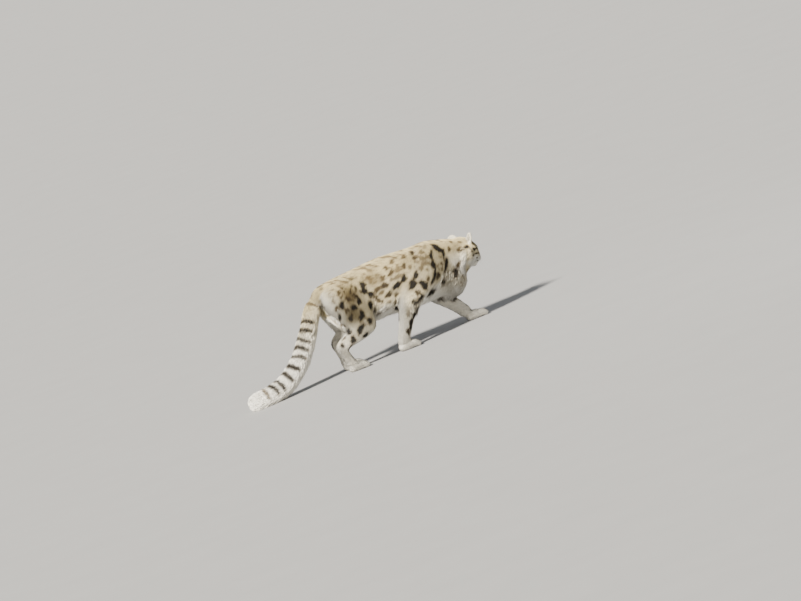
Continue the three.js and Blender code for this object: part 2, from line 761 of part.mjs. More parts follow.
function lidsOf(eye) {
  const ring = new THREE.TorusGeometry(eyeRadius * 0.98, eyeRadius * 0.28, 5, 14);
  ring.rotateY(Math.PI / 2);
  ring.scale(1, 1.1, 0.8);
  ring.applyQuaternion(turnTo(eye.gaze, vec(0, 0, 1)));
  const at = eye.centre.clone().addScaledVector(eye.gaze, eyeRadius * 0.5);
  ring.translate(at.x, at.y, at.z);
  return solid(ring);
}

// Points of the mouth's line on the surface of the muzzle, from one corner to the other.
function mouthLine(drop) {
  const points = [];
  for (let i = -5; i <= 5; i++) {
    const turn = (i / 5) * degrees(84);
    const middle = vec(66, 0, -40 - drop - 5 * Math.sin(Math.abs(turn)));
    points.push(reach(face, middle, vec(Math.cos(turn), Math.sin(turn), 0)));
  }
  return points;
}

function addHead() {
  const [step, stray] = facet.head;
  const skin = solid(surface(head, boxGrid([-130, -130, -140], [142, 130, 110], step), stray));
  const eyes = pair(eyeOf);
  const noseAt = reach(face, vec(90, 0, -4), vec(1, 0, -0.05)).add(vec(-5, 0, 0));
  const nose = solid(ball(noseAt, [10, 15, 10]));
  const lowerLip = cord(mouthLine(5), 4);
  const shape = wasm.Manifold.union([skin, nose, lowerLip, ...eyes.map(lidsOf)]).intersect(ahead(headCut));
  const nostrilAt = (s) => vec(noseAt.x + 8, s * 8, noseAt.z - 2);
  const nostrils = pair((s) => solid(ball(nostrilAt(s), [7, 3.6, 3], undefined, 8)));
  const eyeBall = (eye, radius) => solid(ball(eye.centre, [radius, radius, radius], undefined, 13));
  const sockets = eyes.map((eye) => eyeBall(eye, eyeRadius + gap * 1.4));
  const hollows = wasm.Manifold.union([...nostrils, ...sockets, cord(mouthLine(0), 2)]);
  const place = new THREE.Matrix4().compose(skull, headTurn, vec(1, 1, 1));
  const onBody = (made) => made.transform(place.elements);
  const whole = withLocks(onBody(shape), coatLocks, 0.25).subtract(onBody(hollows));
  addNode("head", whole.intersect(ahead(headCutOnBody)).intersect(ahead(neckCut)), coat);
  ["left", "right"].forEach((name, i) => {
    const side = i ? -1 : 1;
    const under = shape.translate(0, side * gap * 1.4, gap * 1.8);
    addNode(`ear_${name}`, onBody(earCup(side).subtract(under)), coat);
    addNode(`eye_${name}`, onBody(eyeBall(eyes[i], eyeRadius)), glassy);
  });
}

addTorso();
for (const [name, leg] of Object.entries(legs)) {
  addLeg(name, leg);
  addPaw(name, paws[name], leg);
}
addNeck();
addHead();
addTail();

// The origin is in the middle of the box of the whole animal, on the floor.
const leopard = new THREE.Group();
leopard.name = "snow_leopard";
leopard.add(...meshes);
const size = new THREE.Box3().setFromObject(leopard);
leopard.position.set(-(size.min.x + size.max.x) / 2, -(size.min.y + size.max.y) / 2, -size.min.z);

export default leopard;
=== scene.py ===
import itertools
import math

import bmesh
import bpy
import numpy as np
from mathutils import Euler, Matrix, Vector
from mathutils.bvhtree import BVHTree
from mathutils.kdtree import KDTree


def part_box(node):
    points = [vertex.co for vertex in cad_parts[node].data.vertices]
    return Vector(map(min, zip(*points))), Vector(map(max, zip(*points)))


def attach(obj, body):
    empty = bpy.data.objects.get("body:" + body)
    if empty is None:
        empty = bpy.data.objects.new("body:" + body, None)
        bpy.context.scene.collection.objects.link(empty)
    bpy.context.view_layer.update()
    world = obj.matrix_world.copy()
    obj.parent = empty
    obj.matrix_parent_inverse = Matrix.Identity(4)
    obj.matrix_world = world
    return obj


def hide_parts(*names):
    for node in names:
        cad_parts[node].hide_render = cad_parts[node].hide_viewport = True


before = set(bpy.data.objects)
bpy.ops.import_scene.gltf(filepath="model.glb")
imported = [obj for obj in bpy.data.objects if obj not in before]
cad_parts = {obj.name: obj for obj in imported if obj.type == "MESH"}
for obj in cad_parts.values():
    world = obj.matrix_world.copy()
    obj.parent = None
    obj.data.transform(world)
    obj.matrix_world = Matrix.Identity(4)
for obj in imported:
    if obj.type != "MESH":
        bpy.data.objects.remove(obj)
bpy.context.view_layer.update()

# A snow leopard in life size: one skin over the whole body, with a coat of fine tufts.
# Places are in metres from a point on the floor under the hips, inboard of the near hind paw.
pawMiddle = Vector((0.0133, -0.0860))  # the near hind paw's middle, from that point
pawLow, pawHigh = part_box("paw_hind_right")
origin = Vector((*((pawLow + pawHigh).xy / 2 - pawMiddle), 0))
pawsFrom = pawLow.x - 0.02  # behind this only the tail is on the floor
rng = np.random.default_rng(20)

camera = {
    "azimuth": 22,
    "elevation": 6,
    "roll": 19.7,
    "metresPerPixel": 0.0057,
    "originPixel": (352.25, 370.52),
    "imageSize": (801, 601),
    "lens": 300,
    "depth": 0.10,
}

head = {
    "centre": (0.929, 0.076, 0.383),
    "turn": (5, 27, 28),
    "eyeRadius": 0.0145,
    # where the face is fuller, on both sides: place, reach and height, for whisker pads, chin and cheeks
    "swells": [(0.098, 0.020, -0.025, 0.022, 0.0035), (0.088, 0.0, -0.056, 0.026, 0.002),
               (0.030, 0.066, -0.020, 0.035, 0.003)],
}

skin = {
    "voxel": 0.0078,
    "faceFront": 0.0,  # ahead of this in the head's frame the skin is made finer
    "pawTop": 0.06,
    "mouthFront": 0.036,
    "aboveFloor": 0.0008,
}

# For each region: rounds of smoothing, how far the skin is then drawn in, and the coat's length,
# width, rise at the root in degrees and how closely the tufts stand.
regions = {
    "torso": dict(smooth=40, inset=0.005, length=0.030, width=0.0037, rise=26, close=1.0),
    "neck": dict(smooth=30, inset=0.006, length=0.030, width=0.0035, rise=26, close=1.1),
    "head": dict(smooth=5, inset=0.003, length=0.014, width=0.0024, rise=20, close=2.6),
    "ear": dict(smooth=3, inset=0.0005, length=0.010, width=0.0022, rise=24, close=2.0),
    "leg": dict(smooth=10, inset=0.001, length=0.020, width=0.0034, rise=26, close=1.3),
    "paw": dict(smooth=2, inset=0.0012, length=0.0085, width=0.0026, rise=16, close=2.9),
    "tail": dict(smooth=30, inset=0.001, length=0.042, width=0.0031, rise=28, close=1.2),
}

coat = {
    "short": 208000,
    "long": 64000,
    "quickShare": 0.35,
    "patch": 0.003,
    "rootDepth": 0.0012,
    "aboveFloor": 0.0012,
    "belly": 0.055,  # length of the long coat under the belly and chest
    "ruff": 0.042,
    "longFrom": 0.034,
    "thighLonger": 0.010,
    "elbow": (0.47, -0.10, 0.25, 0.10),  # place and reach of the longer coat in front of the near elbow
    "elbowLonger": 0.018,
    "elbowRise": 14,
    "markSize": 1.32,  # how much a mark read off the photo grows
    "markGain": 1.1,  # how much darker it gets
    "markFloor": 0.08,  # and what is added to that
    "flecks": 0.52,  # darkness of the brown flecks between the marks
}


def place(x, y, z):
    return origin + Vector((x, y, z))


def smoothStep(low, high, x):
    t = np.clip((x - low) / (high - low), 0, 1)
    return t * t * (3 - 2 * t)


headTurn = Euler([math.radians(a) for a in head["turn"]], "XYZ").to_matrix()
headAt = place(*head["centre"])


def onHead(x, y, z):
    return headAt + headTurn @ Vector((x, y, z))


def toHead(points):
    return (points - np.array(headAt)) @ np.array(headTurn)


# The camera of the photo, far off with a long lens and rolled by the slope.
psi, tilt, roll = (math.radians(camera[k]) for k in ("azimuth", "elevation", "roll"))
flatRight = Vector((math.cos(psi), -math.sin(psi), 0))
lookAlong = Vector((math.sin(psi) * math.cos(tilt), math.cos(psi) * math.cos(tilt), -math.sin(tilt)))
flatUp = flatRight.cross(lookAlong)
viewRight = flatRight * math.cos(roll) - flatUp * math.sin(roll)
viewUp = flatRight * math.sin(roll) + flatUp * math.cos(roll)


def atPixel(x, y, depth=0.0):
    right = (x - camera["originPixel"][0]) * camera["metresPerPixel"]
    up = (camera["originPixel"][1] - y) * camera["metresPerPixel"]
    return origin + viewRight * right + viewUp * up + lookAlong * depth


def linked(name, data):
    made = bpy.data.objects.new(name, data)
    bpy.context.scene.collection.objects.link(made)
    return made


def makeCamera():
    width, height = camera["imageSize"]
    data = bpy.data.cameras.new("camera")
    data.lens = camera["lens"]
    data.sensor_width = 36
    distance = width * camera["metresPerPixel"] * data.lens / data.sensor_width
    data.clip_end = distance * 4
    made = linked("camera", data)
    made.location = atPixel(width / 2, height / 2, camera["depth"] - distance)
    axes = Matrix((viewRight, viewUp, -lookAlong)).transposed()
    made.rotation_euler = axes.to_euler()
    bpy.context.scene.camera = made


makeCamera()
print("camera made")
fleshNames = sorted(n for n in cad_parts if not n.startswith("eye"))


def solidsJoined():
    # a merged copy of the flesh nodes, with each face's node beside it
    made = bmesh.new()
    for name in fleshNames:
        made.from_mesh(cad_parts[name].data)
    counts = [len(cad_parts[name].data.polygons) for name in fleshNames]
    owner = made.faces.layers.int.new("owner")
    made.faces.ensure_lookup_table()
    face = 0
    for index, count in enumerate(counts):
        for k in range(face, face + count):
            made.faces[k][owner] = index
        face += count
    bmesh.ops.remove_doubles(made, verts=made.verts, dist=2e-6)
    return made, owner


def remeshed(source):
    rough = linked("solids", meshFrom(source, "solids"))
    step = rough.modifiers.new("skin", "REMESH")
    step.mode = "VOXEL"
    step.voxel_size = skin["voxel"]
    graph = bpy.context.evaluated_depsgraph_get()
    graph.update()
    out = bpy.data.meshes.new_from_object(rough.evaluated_get(graph))
    bpy.data.objects.remove(rough)
    return out


def fetched(items, key, across=1, kind=float):
    # one value, or a row of them, for each of a mesh's points, edges, faces or corners
    values = np.empty(len(items) * across, kind)
    items.foreach_get(key, values)
    return values.reshape(-1, across) if across > 1 else values


def smoothFaces(mesh):
    mesh.polygons.foreach_set("use_smooth", np.ones(len(mesh.polygons), bool))


def meshFrom(made, name):
    mesh = bpy.data.meshes.new(name)
    made.to_mesh(mesh)
    made.free()
    return mesh


def neighbourMean(values, pairs, count):
    # each vertex's mean over the vertices that it shares an edge with
    ends = np.concatenate([pairs[:, 0], pairs[:, 1]])
    starts = np.concatenate([pairs[:, 1], pairs[:, 0]])
    flat = values if values.ndim > 1 else values[:, None]
    total = np.stack([np.bincount(ends, flat[starts, k], count) for k in range(flat.shape[1])], 1)
    mean = total / np.maximum(np.bincount(ends, minlength=count), 1)[:, None]
    return mean if values.ndim > 1 else mean[:, 0]


def relaxed(values, pairs, rounds, weight=0.5):
    for _ in range(rounds):
        values = values + (neighbourMean(values, pairs, len(values)) - values) * weight
    return values


def unit(vectors):
    return vectors / np.maximum(np.linalg.norm(vectors, axis=1), 1e-9)[:, None]


def dots(a, b):
    return np.einsum("ij,ij->i", a, b)


def earBox(side):
    # an ear's box and a little round it
    low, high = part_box("ear_" + side)
    return np.array(low) - 0.004, np.array(high) + 0.004


def within(points, low, high):
    return ((points > low) & (points < high)).all(axis=-1)


def fineSkin(points):
    # how many times the skin is made finer: the face, the ears and the paws
    local = toHead(points)
    times = (local[:, 0] > skin["faceFront"]).astype(int)
    times += local[:, 0] > skin["mouthFront"]
    for name in ("left", "right"):
        times = np.maximum(times, within(points, *earBox(name)))
    return np.maximum(times, points[:, 2] < skin["pawTop"] * (points[:, 0] > pawsFrom))


def refined(mesh):
    made = bmesh.new()
    made.from_mesh(mesh)
    for level in (1, 2):
        places = np.array([v.co for v in made.verts])
        inside = fineSkin(places) >= level
        made.verts.ensure_lookup_table()
        made.verts.index_update()
        edges = [e for e in made.edges if inside[e.verts[0].index] and inside[e.verts[1].index]]
        bmesh.ops.subdivide_edges(made, edges=edges, cuts=1, use_grid_fill=True)
    made.to_mesh(mesh)
    made.free()


def regionOf(name):
    return name.split("_")[0]


solids, ownerLayer = solidsJoined()
solids.faces.ensure_lookup_table()
faceOwner = np.array([f[ownerLayer] for f in solids.faces])
solidTree = BVHTree.FromBMesh(solids)
skinMesh = remeshed(solids)
refined(skinMesh)
pairs = fetched(skinMesh.edges, "vertices", 2, int)
points = fetched(skinMesh.vertices, "co", 3)
print("skin", len(points), "points")


def settled(points):
    # the finer skin lies on the solids again
    for i in np.nonzero(fineSkin(points))[0]:
        points[i] = solidTree.find_nearest(Vector(points[i]))[0]
    return points


points = settled(points)
owners = np.array([faceOwner[solidTree.find_nearest(Vector(p))[2]] for p in points])
ownerRegions = np.array([regionOf(fleshNames[o]) for o in owners])


def perPoint(key, rounds):
    values = np.zeros(len(points))
    for region, sizes in regions.items():
        values[ownerRegions == region] = sizes[key]
    return relaxed(values, pairs, rounds)


def smoothedSkin(points):
    rounds = perPoint("smooth", 6)
    for done in range(int(rounds.max()) + 1):
        active = np.clip(rounds - done, 0, 1) * 0.5
        points = points + (neighbourMean(points, pairs, len(points)) - points) * active[:, None]
    return points


def shaped(points):
    # the skin's mesh takes these points, and gives its normals there
    skinMesh.vertices.foreach_set("co", points.ravel())
    skinMesh.update()
    return fetched(skinMesh.vertices, "normal", 3)


points = smoothedSkin(points)
points = points - shaped(points) * perPoint("inset", 6)[:, None]
points[:, 2] = np.maximum(points[:, 2], skin["aboveFloor"])
normals = shaped(points)
onHeadSkin = ownerRegions == "head"


noseAndMouth = {
    "noseForward": 0.0022,
    "nostrilDepth": 0.006,
    "mouthDepth": 0.0022,
    "nostrilSize": (0.011, 0.0040, 0.0032),
    "mouthHeight": -0.0405,  # in the head's frame
    "mouthReach": 92,  # how far the mouth goes round to each side, in degrees
}


def nosePatch(local):
    # where the nose leather is, in the head's frame, and how far forward it reaches
    near = (np.abs(local[:, 1]) < 0.012) & (np.abs(local[:, 2] + 0.004) < 0.012) & onHeadSkin
    front = local[near, 0].max()
    above = np.clip((local[:, 2] + 0.001) / 0.009, 0, 1)
    across = 0.0162 * np.sqrt(1 - above ** 2) - 0.55 * np.maximum(0, -0.005 - local[:, 2])
    patch = (local[:, 2] > -0.0175) & (np.abs(local[:, 1]) < across) & (local[:, 0] > front - 0.017)
    return patch, front


def nostrilShare(local, front):
    off = local - np.array((front - 0.001, 0, -0.0085))
    off[:, 1] = np.abs(off[:, 1]) - 0.0082 - 0.25 * off[:, 2]
    return smoothStep(1.25, 0.55, np.linalg.norm(off / np.array(noseAndMouth["nostrilSize"]), axis=1))


def mouthShare(local):
    # the line of the mouth round the muzzle, and the one that parts the upper lip
    turn = np.arctan2(local[:, 1], local[:, 0] - 0.066)
    line = noseAndMouth["mouthHeight"] - 0.005 * np.abs(np.sin(turn))
    reach = noseAndMouth["mouthReach"]
    ends = smoothStep(reach, reach - 12, np.degrees(np.abs(turn)))
    lips = smoothStep(0.0040, 0.0010, np.abs(local[:, 2] - line)) * ends
    parting = smoothStep(0.0018, 0.0004, np.abs(local[:, 1])) * (np.abs(local[:, 2] + 0.028) < 0.012)
    return np.maximum(lips * (local[:, 0] > 0.055), parting * (local[:, 0] > 0.09))


headPoints = toHead(points)
noseBare, noseFront = nosePatch(headPoints)
nostrils = nostrilShare(headPoints, noseFront) * noseBare
mouth = mouthShare(headPoints) * onHeadSkin


def swelling():
    # how much fuller the face is at each point
    swell = np.zeros(len(points))
    for x, y, z, reach, height in head["swells"]:
        off = headPoints - np.array((x, 0, z))
        off[:, 1] = np.abs(off[:, 1]) - y
        swell += height * smoothStep(reach, 0, np.linalg.norm(off, axis=1)) * onHeadSkin
    return relaxed(swell, pairs, 2)


headForward = np.array(headTurn @ Vector((1, 0, 0)))
noseOut = relaxed(noseBare * noseAndMouth["noseForward"], pairs, 1) - nostrils * noseAndMouth["nostrilDepth"]
points = points + normals * swelling()[:, None]
points = points + headForward * noseOut[:, None]
points = points - normals * (mouth * noseAndMouth["mouthDepth"])[:, None]
normals = shaped(points)
headPoints = toHead(points)
print("skin smoothed")


# The lie of the coat: directions at guide points inside the body, from the nose back and down.
guides = {
    "head": [((1.00, 0.11, 0.35), (-1, -0.4, 0.5)), ((0.93, 0.08, 0.40), (-1, -0.3, 0.1))],
    "neck": [((0.83, 0.04, 0.40), (-1, -0.1, -0.3)), ((0.76, 0.02, 0.32), (-0.7, 0, -0.8))],
    "back": [((0.60, 0, 0.42), (-1, 0, -0.15)), ((0.30, 0, 0.42), (-1, 0, -0.25)),
             ((0.05, 0, 0.44), (-1, 0, -0.3))],
    "belly": [((0.60, 0, 0.27), (-1, 0, -0.5)), ((0.35, 0, 0.27), (-1, 0, -0.5)),
              ((0.15, 0, 0.30), (-1, 0, -0.6))],
    "tail": [
        ((-0.06, 0, 0.44), (-0.8, 0, -0.6)),
        ((-0.15, 0, 0.33), (-0.5, 0, -0.85)),
        ((-0.25, -0.01, 0.20), (-0.66, -0.1, -0.72)),
        ((-0.37, -0.03, 0.10), (-0.85, -0.1, -0.5)),
        ((-0.48, -0.04, 0.06), (-1, -0.1, -0.15)),
        ((-0.62, -0.05, 0.05), (-1, -0.1, 0)),
    ],
    "hindNear": [((0.07, -0.09, 0.36), (-0.2, 0, -1)), ((0.12, -0.1, 0.24), (-0.6, 0, -0.8)),
                 ((0.02, -0.09, 0.17), (-0.9, 0, -0.4)), ((-0.04, -0.09, 0.09), (0.1, 0, -1)),
                 ((0.03, -0.09, 0.02), (1, 0, -0.2))],
    "hindFar": [((0.08, 0.09, 0.36), (-0.2, 0, -1)), ((0.14, 0.1, 0.25), (-0.6, 0, -0.8)),
                ((0.06, 0.09, 0.19), (-0.9, 0, -0.4)), ((0.01, 0.09, 0.1), (0.1, 0, -1)),
                ((0.08, 0.09, 0.02), (1, 0, -0.2))],
    "foreNear": [((0.63, -0.08, 0.40), (-0.5, 0, -0.9)), ((0.54, -0.09, 0.31), (-0.9, 0, -0.6)),
                 ((0.40, -0.09, 0.18), (-0.45, 0, -0.9)), ((0.35, -0.08, 0.09), (-0.3, 0, -1)),
                 ((0.37, -0.08, 0.02), (1, 0, -0.2))],
    "foreFar": [((0.71, 0.08, 0.38), (0.2, 0, -1)), ((0.72, 0.09, 0.28), (-0.2, 0, -1)),
                ((0.74, 0.09, 0.15), (0.7, 0, -0.7)), ((0.79, 0.08, 0.08), (0.7, 0, -0.7)),
                ((0.88, 0.08, 0.02), (1, 0, -0.2))],
}
guideAt = np.array([place(*at) for rows in guides.values() for at, _ in rows])
guideWay = unit(np.array([way for rows in guides.values() for _, way in rows], float))


def lieOfCoat(points, normals, pairs):
    gap = np.linalg.norm(points[:, None, :] - guideAt[None], axis=2)
    share = 1 / (gap + 0.01) ** 5
    way = (share[:, :, None] * guideWay[None]).sum(1) / share.sum(1)[:, None]
    # on the face the hair runs back from the nose
    local = toHead(points)
    fromNose = unit(local - np.array([0.125, 0, -0.012])) @ np.array(headTurn).T
    face = smoothStep(-0.03, 0.05, local[:, 0]) * (np.abs(local[:, 1]) < 0.12) * onHeadSkin
    way = way * (1 - face)[:, None] + fromNose * face[:, None]
    for _ in range(8):
        way = way - normals * dots(way, normals)[:, None]
        way = relaxed(unit(way), pairs, 2)
    return unit(way - normals * dots(way, normals)[:, None])


ways = lieOfCoat(points, normals, pairs)

walkPoints = points - np.array(origin)
underside = smoothStep(-0.1, 0.75, -normals[:, 2])
onTrunk = np.isin(ownerRegions, ["torso", "neck"])
bellyWeight = relaxed(onTrunk * underside * smoothStep(0.40, 0.30, walkPoints[:, 2]), pairs, 10)
ruffWeight = smoothStep(0.045, 0.075, np.abs(headPoints[:, 1])) * smoothStep(0.0, -0.03, headPoints[:, 0])
ruffWeight = ruffWeight * smoothStep(-0.13, -0.07, headPoints[:, 0])
ruffWeight = ruffWeight * smoothStep(0.03, -0.01, headPoints[:, 2])
ruffWeight = relaxed(ruffWeight * np.isin(ownerRegions, ["head", "neck"]), pairs, 6)

coatLength = perPoint("length", 10)
upperLeg = (ownerRegions == "leg") * smoothStep(0.13, 0.24, walkPoints[:, 2])
coatLength = coatLength + coat["thighLonger"] * upperLeg
coatLength = coatLength + (coat["belly"] - coatLength) * bellyWeight
coatLength = coatLength + (coat["ruff"] - coatLength) * ruffWeight
faceBack = smoothStep(-0.02, 0.07, headPoints[:, 0]) * onHeadSkin
coatLength = coatLength * (1 - 0.55 * faceBack)


def ballOf(name):
    # the middle of an eye's ball
    low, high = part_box(name)
    return np.array((low + high) / 2)


eyeGap = np.full(len(points), 1.0)
for name in ("eye_left", "eye_right"):
    eyeGap = np.minimum(eyeGap, np.linalg.norm(points - ballOf(name), axis=1) - head["eyeRadius"])
coatLength = coatLength * (0.4 + 0.6 * smoothStep(0.001, 0.016, eyeGap))
coatWidth = perPoint("width", 10) * (1 - 0.4 * faceBack)
coatRise = perPoint("rise", 10)
elbow = smoothStep(coat["elbow"][3], 0, np.linalg.norm(walkPoints - np.array(coat["elbow"][:3]), axis=1))
coatLength = coatLength + coat["elbowLonger"] * elbow
coatRise = coatRise + coat["elbowRise"] * elbow
coatClose = perPoint("close", 4) * (1 + 1.2 * faceBack)
print("lie of the coat")

# The markings, which the skin and every tuft share.
colours = {
    "back": (0.50, 0.42, 0.24),
    "flank": (0.63, 0.55, 0.36),
    "belly": (0.88, 0.855, 0.78),
    # dark grey for the lower neck and chest: partly their own greyer fur, partly painted shade
    "chestGreyAndPaintedShade": (0.30, 0.29, 0.27),
    "olive": (0.185, 0.14, 0.062),
    "markWarm": (0.135, 0.092, 0.042),
    "mark": (0.020, 0.016, 0.011),
    "nose": (0.17, 0.10, 0.083),
    "rim": (0.022, 0.018, 0.015),
    "pad": (0.13, 0.09, 0.075),
}
colours = {name: np.array(colour) for name, colour in colours.items()}
# Marks read off the photo: pixel, half length along the coat's lie, half width, darkness, and
# a sixth value, 1, where the mark is a broken ring.
photoMarks = [
    (342, 292, 0.026, 0.014, 0.6, 1), (353, 290, 0.028, 0.016, 0.65, 1), (363, 285, 0.015, 0.019, 0.7),
    (364, 291, 0.013, 0.020, 0.95), (371, 294, 0.013, 0.016, 0.8), (376, 297, 0.012, 0.016, 0.55),
    (342, 305, 0.015, 0.013, 0.85), (337, 308, 0.012, 0.009, 0.5), (354, 307, 0.016, 0.013, 0.75),
    (351, 317, 0.015, 0.013, 0.65), (340, 316, 0.016, 0.008, 0.85), (359, 301, 0.018, 0.010, 0.75),
    (370, 305, 0.020, 0.012, 0.98), (362, 315, 0.019, 0.017, 0.9), (370, 320, 0.018, 0.012, 1),
    (344, 325, 0.012, 0.010, 0.5), (350, 331, 0.013, 0.012, 0.9), (361, 328, 0.022, 0.014, 1),
    (366, 334, 0.013, 0.012, 0.95), (354, 339, 0.016, 0.015, 1), (345, 338, 0.011, 0.008, 0.5),
    (343, 345, 0.010, 0.009, 0.85), (350, 347, 0.014, 0.010, 0.9), (354, 351, 0.013, 0.010, 0.85),
    (385, 285, 0.017, 0.015, 0.6), (397, 285, 0.022, 0.012, 0.85), (389, 294, 0.017, 0.014, 0.6),
    (379, 301, 0.015, 0.014, 0.55), (377, 312, 0.012, 0.010, 0.45), (388, 302, 0.013, 0.010, 0.35),
    (377, 279, 0.034, 0.020, 0.4, 1), (366, 275, 0.026, 0.015, 0.3, 1), (378, 289, 0.020, 0.012, 0.55),
    (354, 278, 0.015, 0.012, 0.35, 1), (386, 268, 0.012, 0.010, 0.5), (392, 262, 0.014, 0.011, 0.5),
    (391, 273, 0.018, 0.011, 0.55), (404, 257, 0.014, 0.011, 0.5), (412, 253, 0.014, 0.012, 0.6),
    (415, 258, 0.014, 0.009, 0.55), (404, 266, 0.014, 0.011, 0.55), (404, 278, 0.017, 0.013, 0.75),
    (416, 275, 0.022, 0.010, 0.75), (413, 284, 0.026, 0.014, 0.85), (417, 293, 0.018, 0.014, 0.6),
    (396, 256, 0.014, 0.012, 0.3, 1), (421, 252, 0.014, 0.010, 0.4), (425, 247, 0.012, 0.010, 0.3),
    (437, 248, 0.020, 0.026, 0.97), (431, 255, 0.020, 0.010, 0.85), (433, 264, 0.024, 0.011, 0.8),
    (443, 253, 0.022, 0.009, 0.9), (446, 263, 0.028, 0.010, 0.8), (434, 276, 0.034, 0.010, 0.9),
    (424, 284, 0.018, 0.022, 0.9), (428, 278, 0.013, 0.010, 0.5), (430, 292, 0.028, 0.012, 1),
    (419, 299, 0.020, 0.016, 0.97), (413, 304, 0.016, 0.014, 0.8), (414, 312, 0.022, 0.013, 0.95),
    (408, 314, 0.010, 0.010, 0.35), (411, 323, 0.026, 0.012, 0.85), (440, 266, 0.020, 0.018, 0.5, 1),
    (441, 283, 0.013, 0.017, 0.8), (438, 275, 0.016, 0.012, 0.6), (455, 273, 0.028, 0.012, 0.75),
    (458, 264, 0.016, 0.011, 0.5), (452, 298, 0.024, 0.014, 0.7), (449, 249, 0.018, 0.008, 0.55),
    (459, 249, 0.020, 0.007, 0.5), (467, 247, 0.014, 0.010, 0.8), (451, 242, 0.010, 0.009, 0.45),
    (460, 242, 0.010, 0.009, 0.45), (460, 251, 0.012, 0.010, 0.55), (332, 295, 0.016, 0.014, 0.35, 1),
    (322, 289, 0.010, 0.010, 0.35), (321, 284, 0.010, 0.013, 0.75), (326, 281, 0.009, 0.012, 0.75),
    (348, 299, 0.014, 0.011, 0.55), (347, 310, 0.013, 0.011, 0.5), (356, 296, 0.012, 0.010, 0.6),
    (369, 278, 0.015, 0.012, 0.45), (383, 278, 0.016, 0.011, 0.5), (373, 270, 0.016, 0.012, 0.3, 1),
    (398, 268, 0.013, 0.011, 0.4), (410, 267, 0.013, 0.010, 0.4), (398, 276, 0.012, 0.010, 0.35),
    (360, 268, 0.016, 0.013, 0.3, 1), (384, 259, 0.015, 0.012, 0.3, 1), (423, 262, 0.016, 0.010, 0.35),
    (408, 331, 0.014, 0.011, 0.6), (469, 247, 0.007, 0.006, 0.9), (471, 251, 0.008, 0.006, 0.95),
    (473, 255, 0.007, 0.006, 0.95), (475, 249, 0.009, 0.006, 0.95), (333, 284, 0.013, 0.010, 0.4),
    (344, 283, 0.015, 0.011, 0.4, 1), (339, 293, 0.013, 0.010, 0.5), (334, 301, 0.012, 0.009, 0.35),
    (382, 292, 0.013, 0.010, 0.45), (392, 279, 0.013, 0.010, 0.4), (384, 308, 0.012, 0.009, 0.4),
    (396, 294, 0.013, 0.010, 0.45), (395, 303, 0.013, 0.009, 0.4), (421, 268, 0.015, 0.010, 0.4),
]
# Wide soft patches of warmer coat, by pixel, half length, half width and strength.
warmPatches = [
    (350, 295, 0.09, 0.065, 0.95), (354, 314, 0.07, 0.07, 0.85), (374, 280, 0.07, 0.06, 0.8),
    (412, 284, 0.06, 0.03, 0.6), (405, 262, 0.07, 0.05, 0.3), (456, 247, 0.10, 0.03, 0.45),
    (355, 338, 0.06, 0.05, 0.3),
]
# Bars across the tail read off the photo: pixel, half width along the tail and darkness.
tailBars = [
    (322, 311, 0.010, 0.6), (318, 318, 0.011, 0.85), (314, 325, 0.011, 0.9), (312, 333, 0.012, 0.95),
    (306, 342, 0.012, 1), (302, 350, 0.012, 1), (299, 358, 0.013, 1), (293, 368, 0.013, 1),
    (286, 376, 0.013, 0.95), (279, 384, 0.013, 0.95), (272, 388, 0.013, 0.9), (265, 392, 0.011, 0.6),
]
tailPath = np.array([
    place(*at) for at in (
        (-0.008, 0, 0.474), (-0.066, 0, 0.446), (-0.118, 0, 0.385), (-0.166, -0.002, 0.312),
        (-0.216, -0.006, 0.240), (-0.280, -0.014, 0.168), (-0.362, -0.026, 0.106),
        (-0.456, -0.038, 0.062), (-0.552, -0.048, 0.045), (-0.638, -0.054, 0.043),
    )
])
# Marks on the sides that the photo hides, by region: how far apart, half length, half width, ring.
markKinds = {
    "torso": dict(apart=0.066, length=0.032, width=0.025, ring=1, dark=0.8),
    "neck": dict(apart=0.050, length=0.021, width=0.014, ring=0, dark=0.8),
    "leg": dict(apart=0.042, length=0.016, width=0.012, ring=0, dark=0.9),
    "paw": dict(apart=0.026, length=0.007, width=0.005, ring=0, dark=0.7),
}
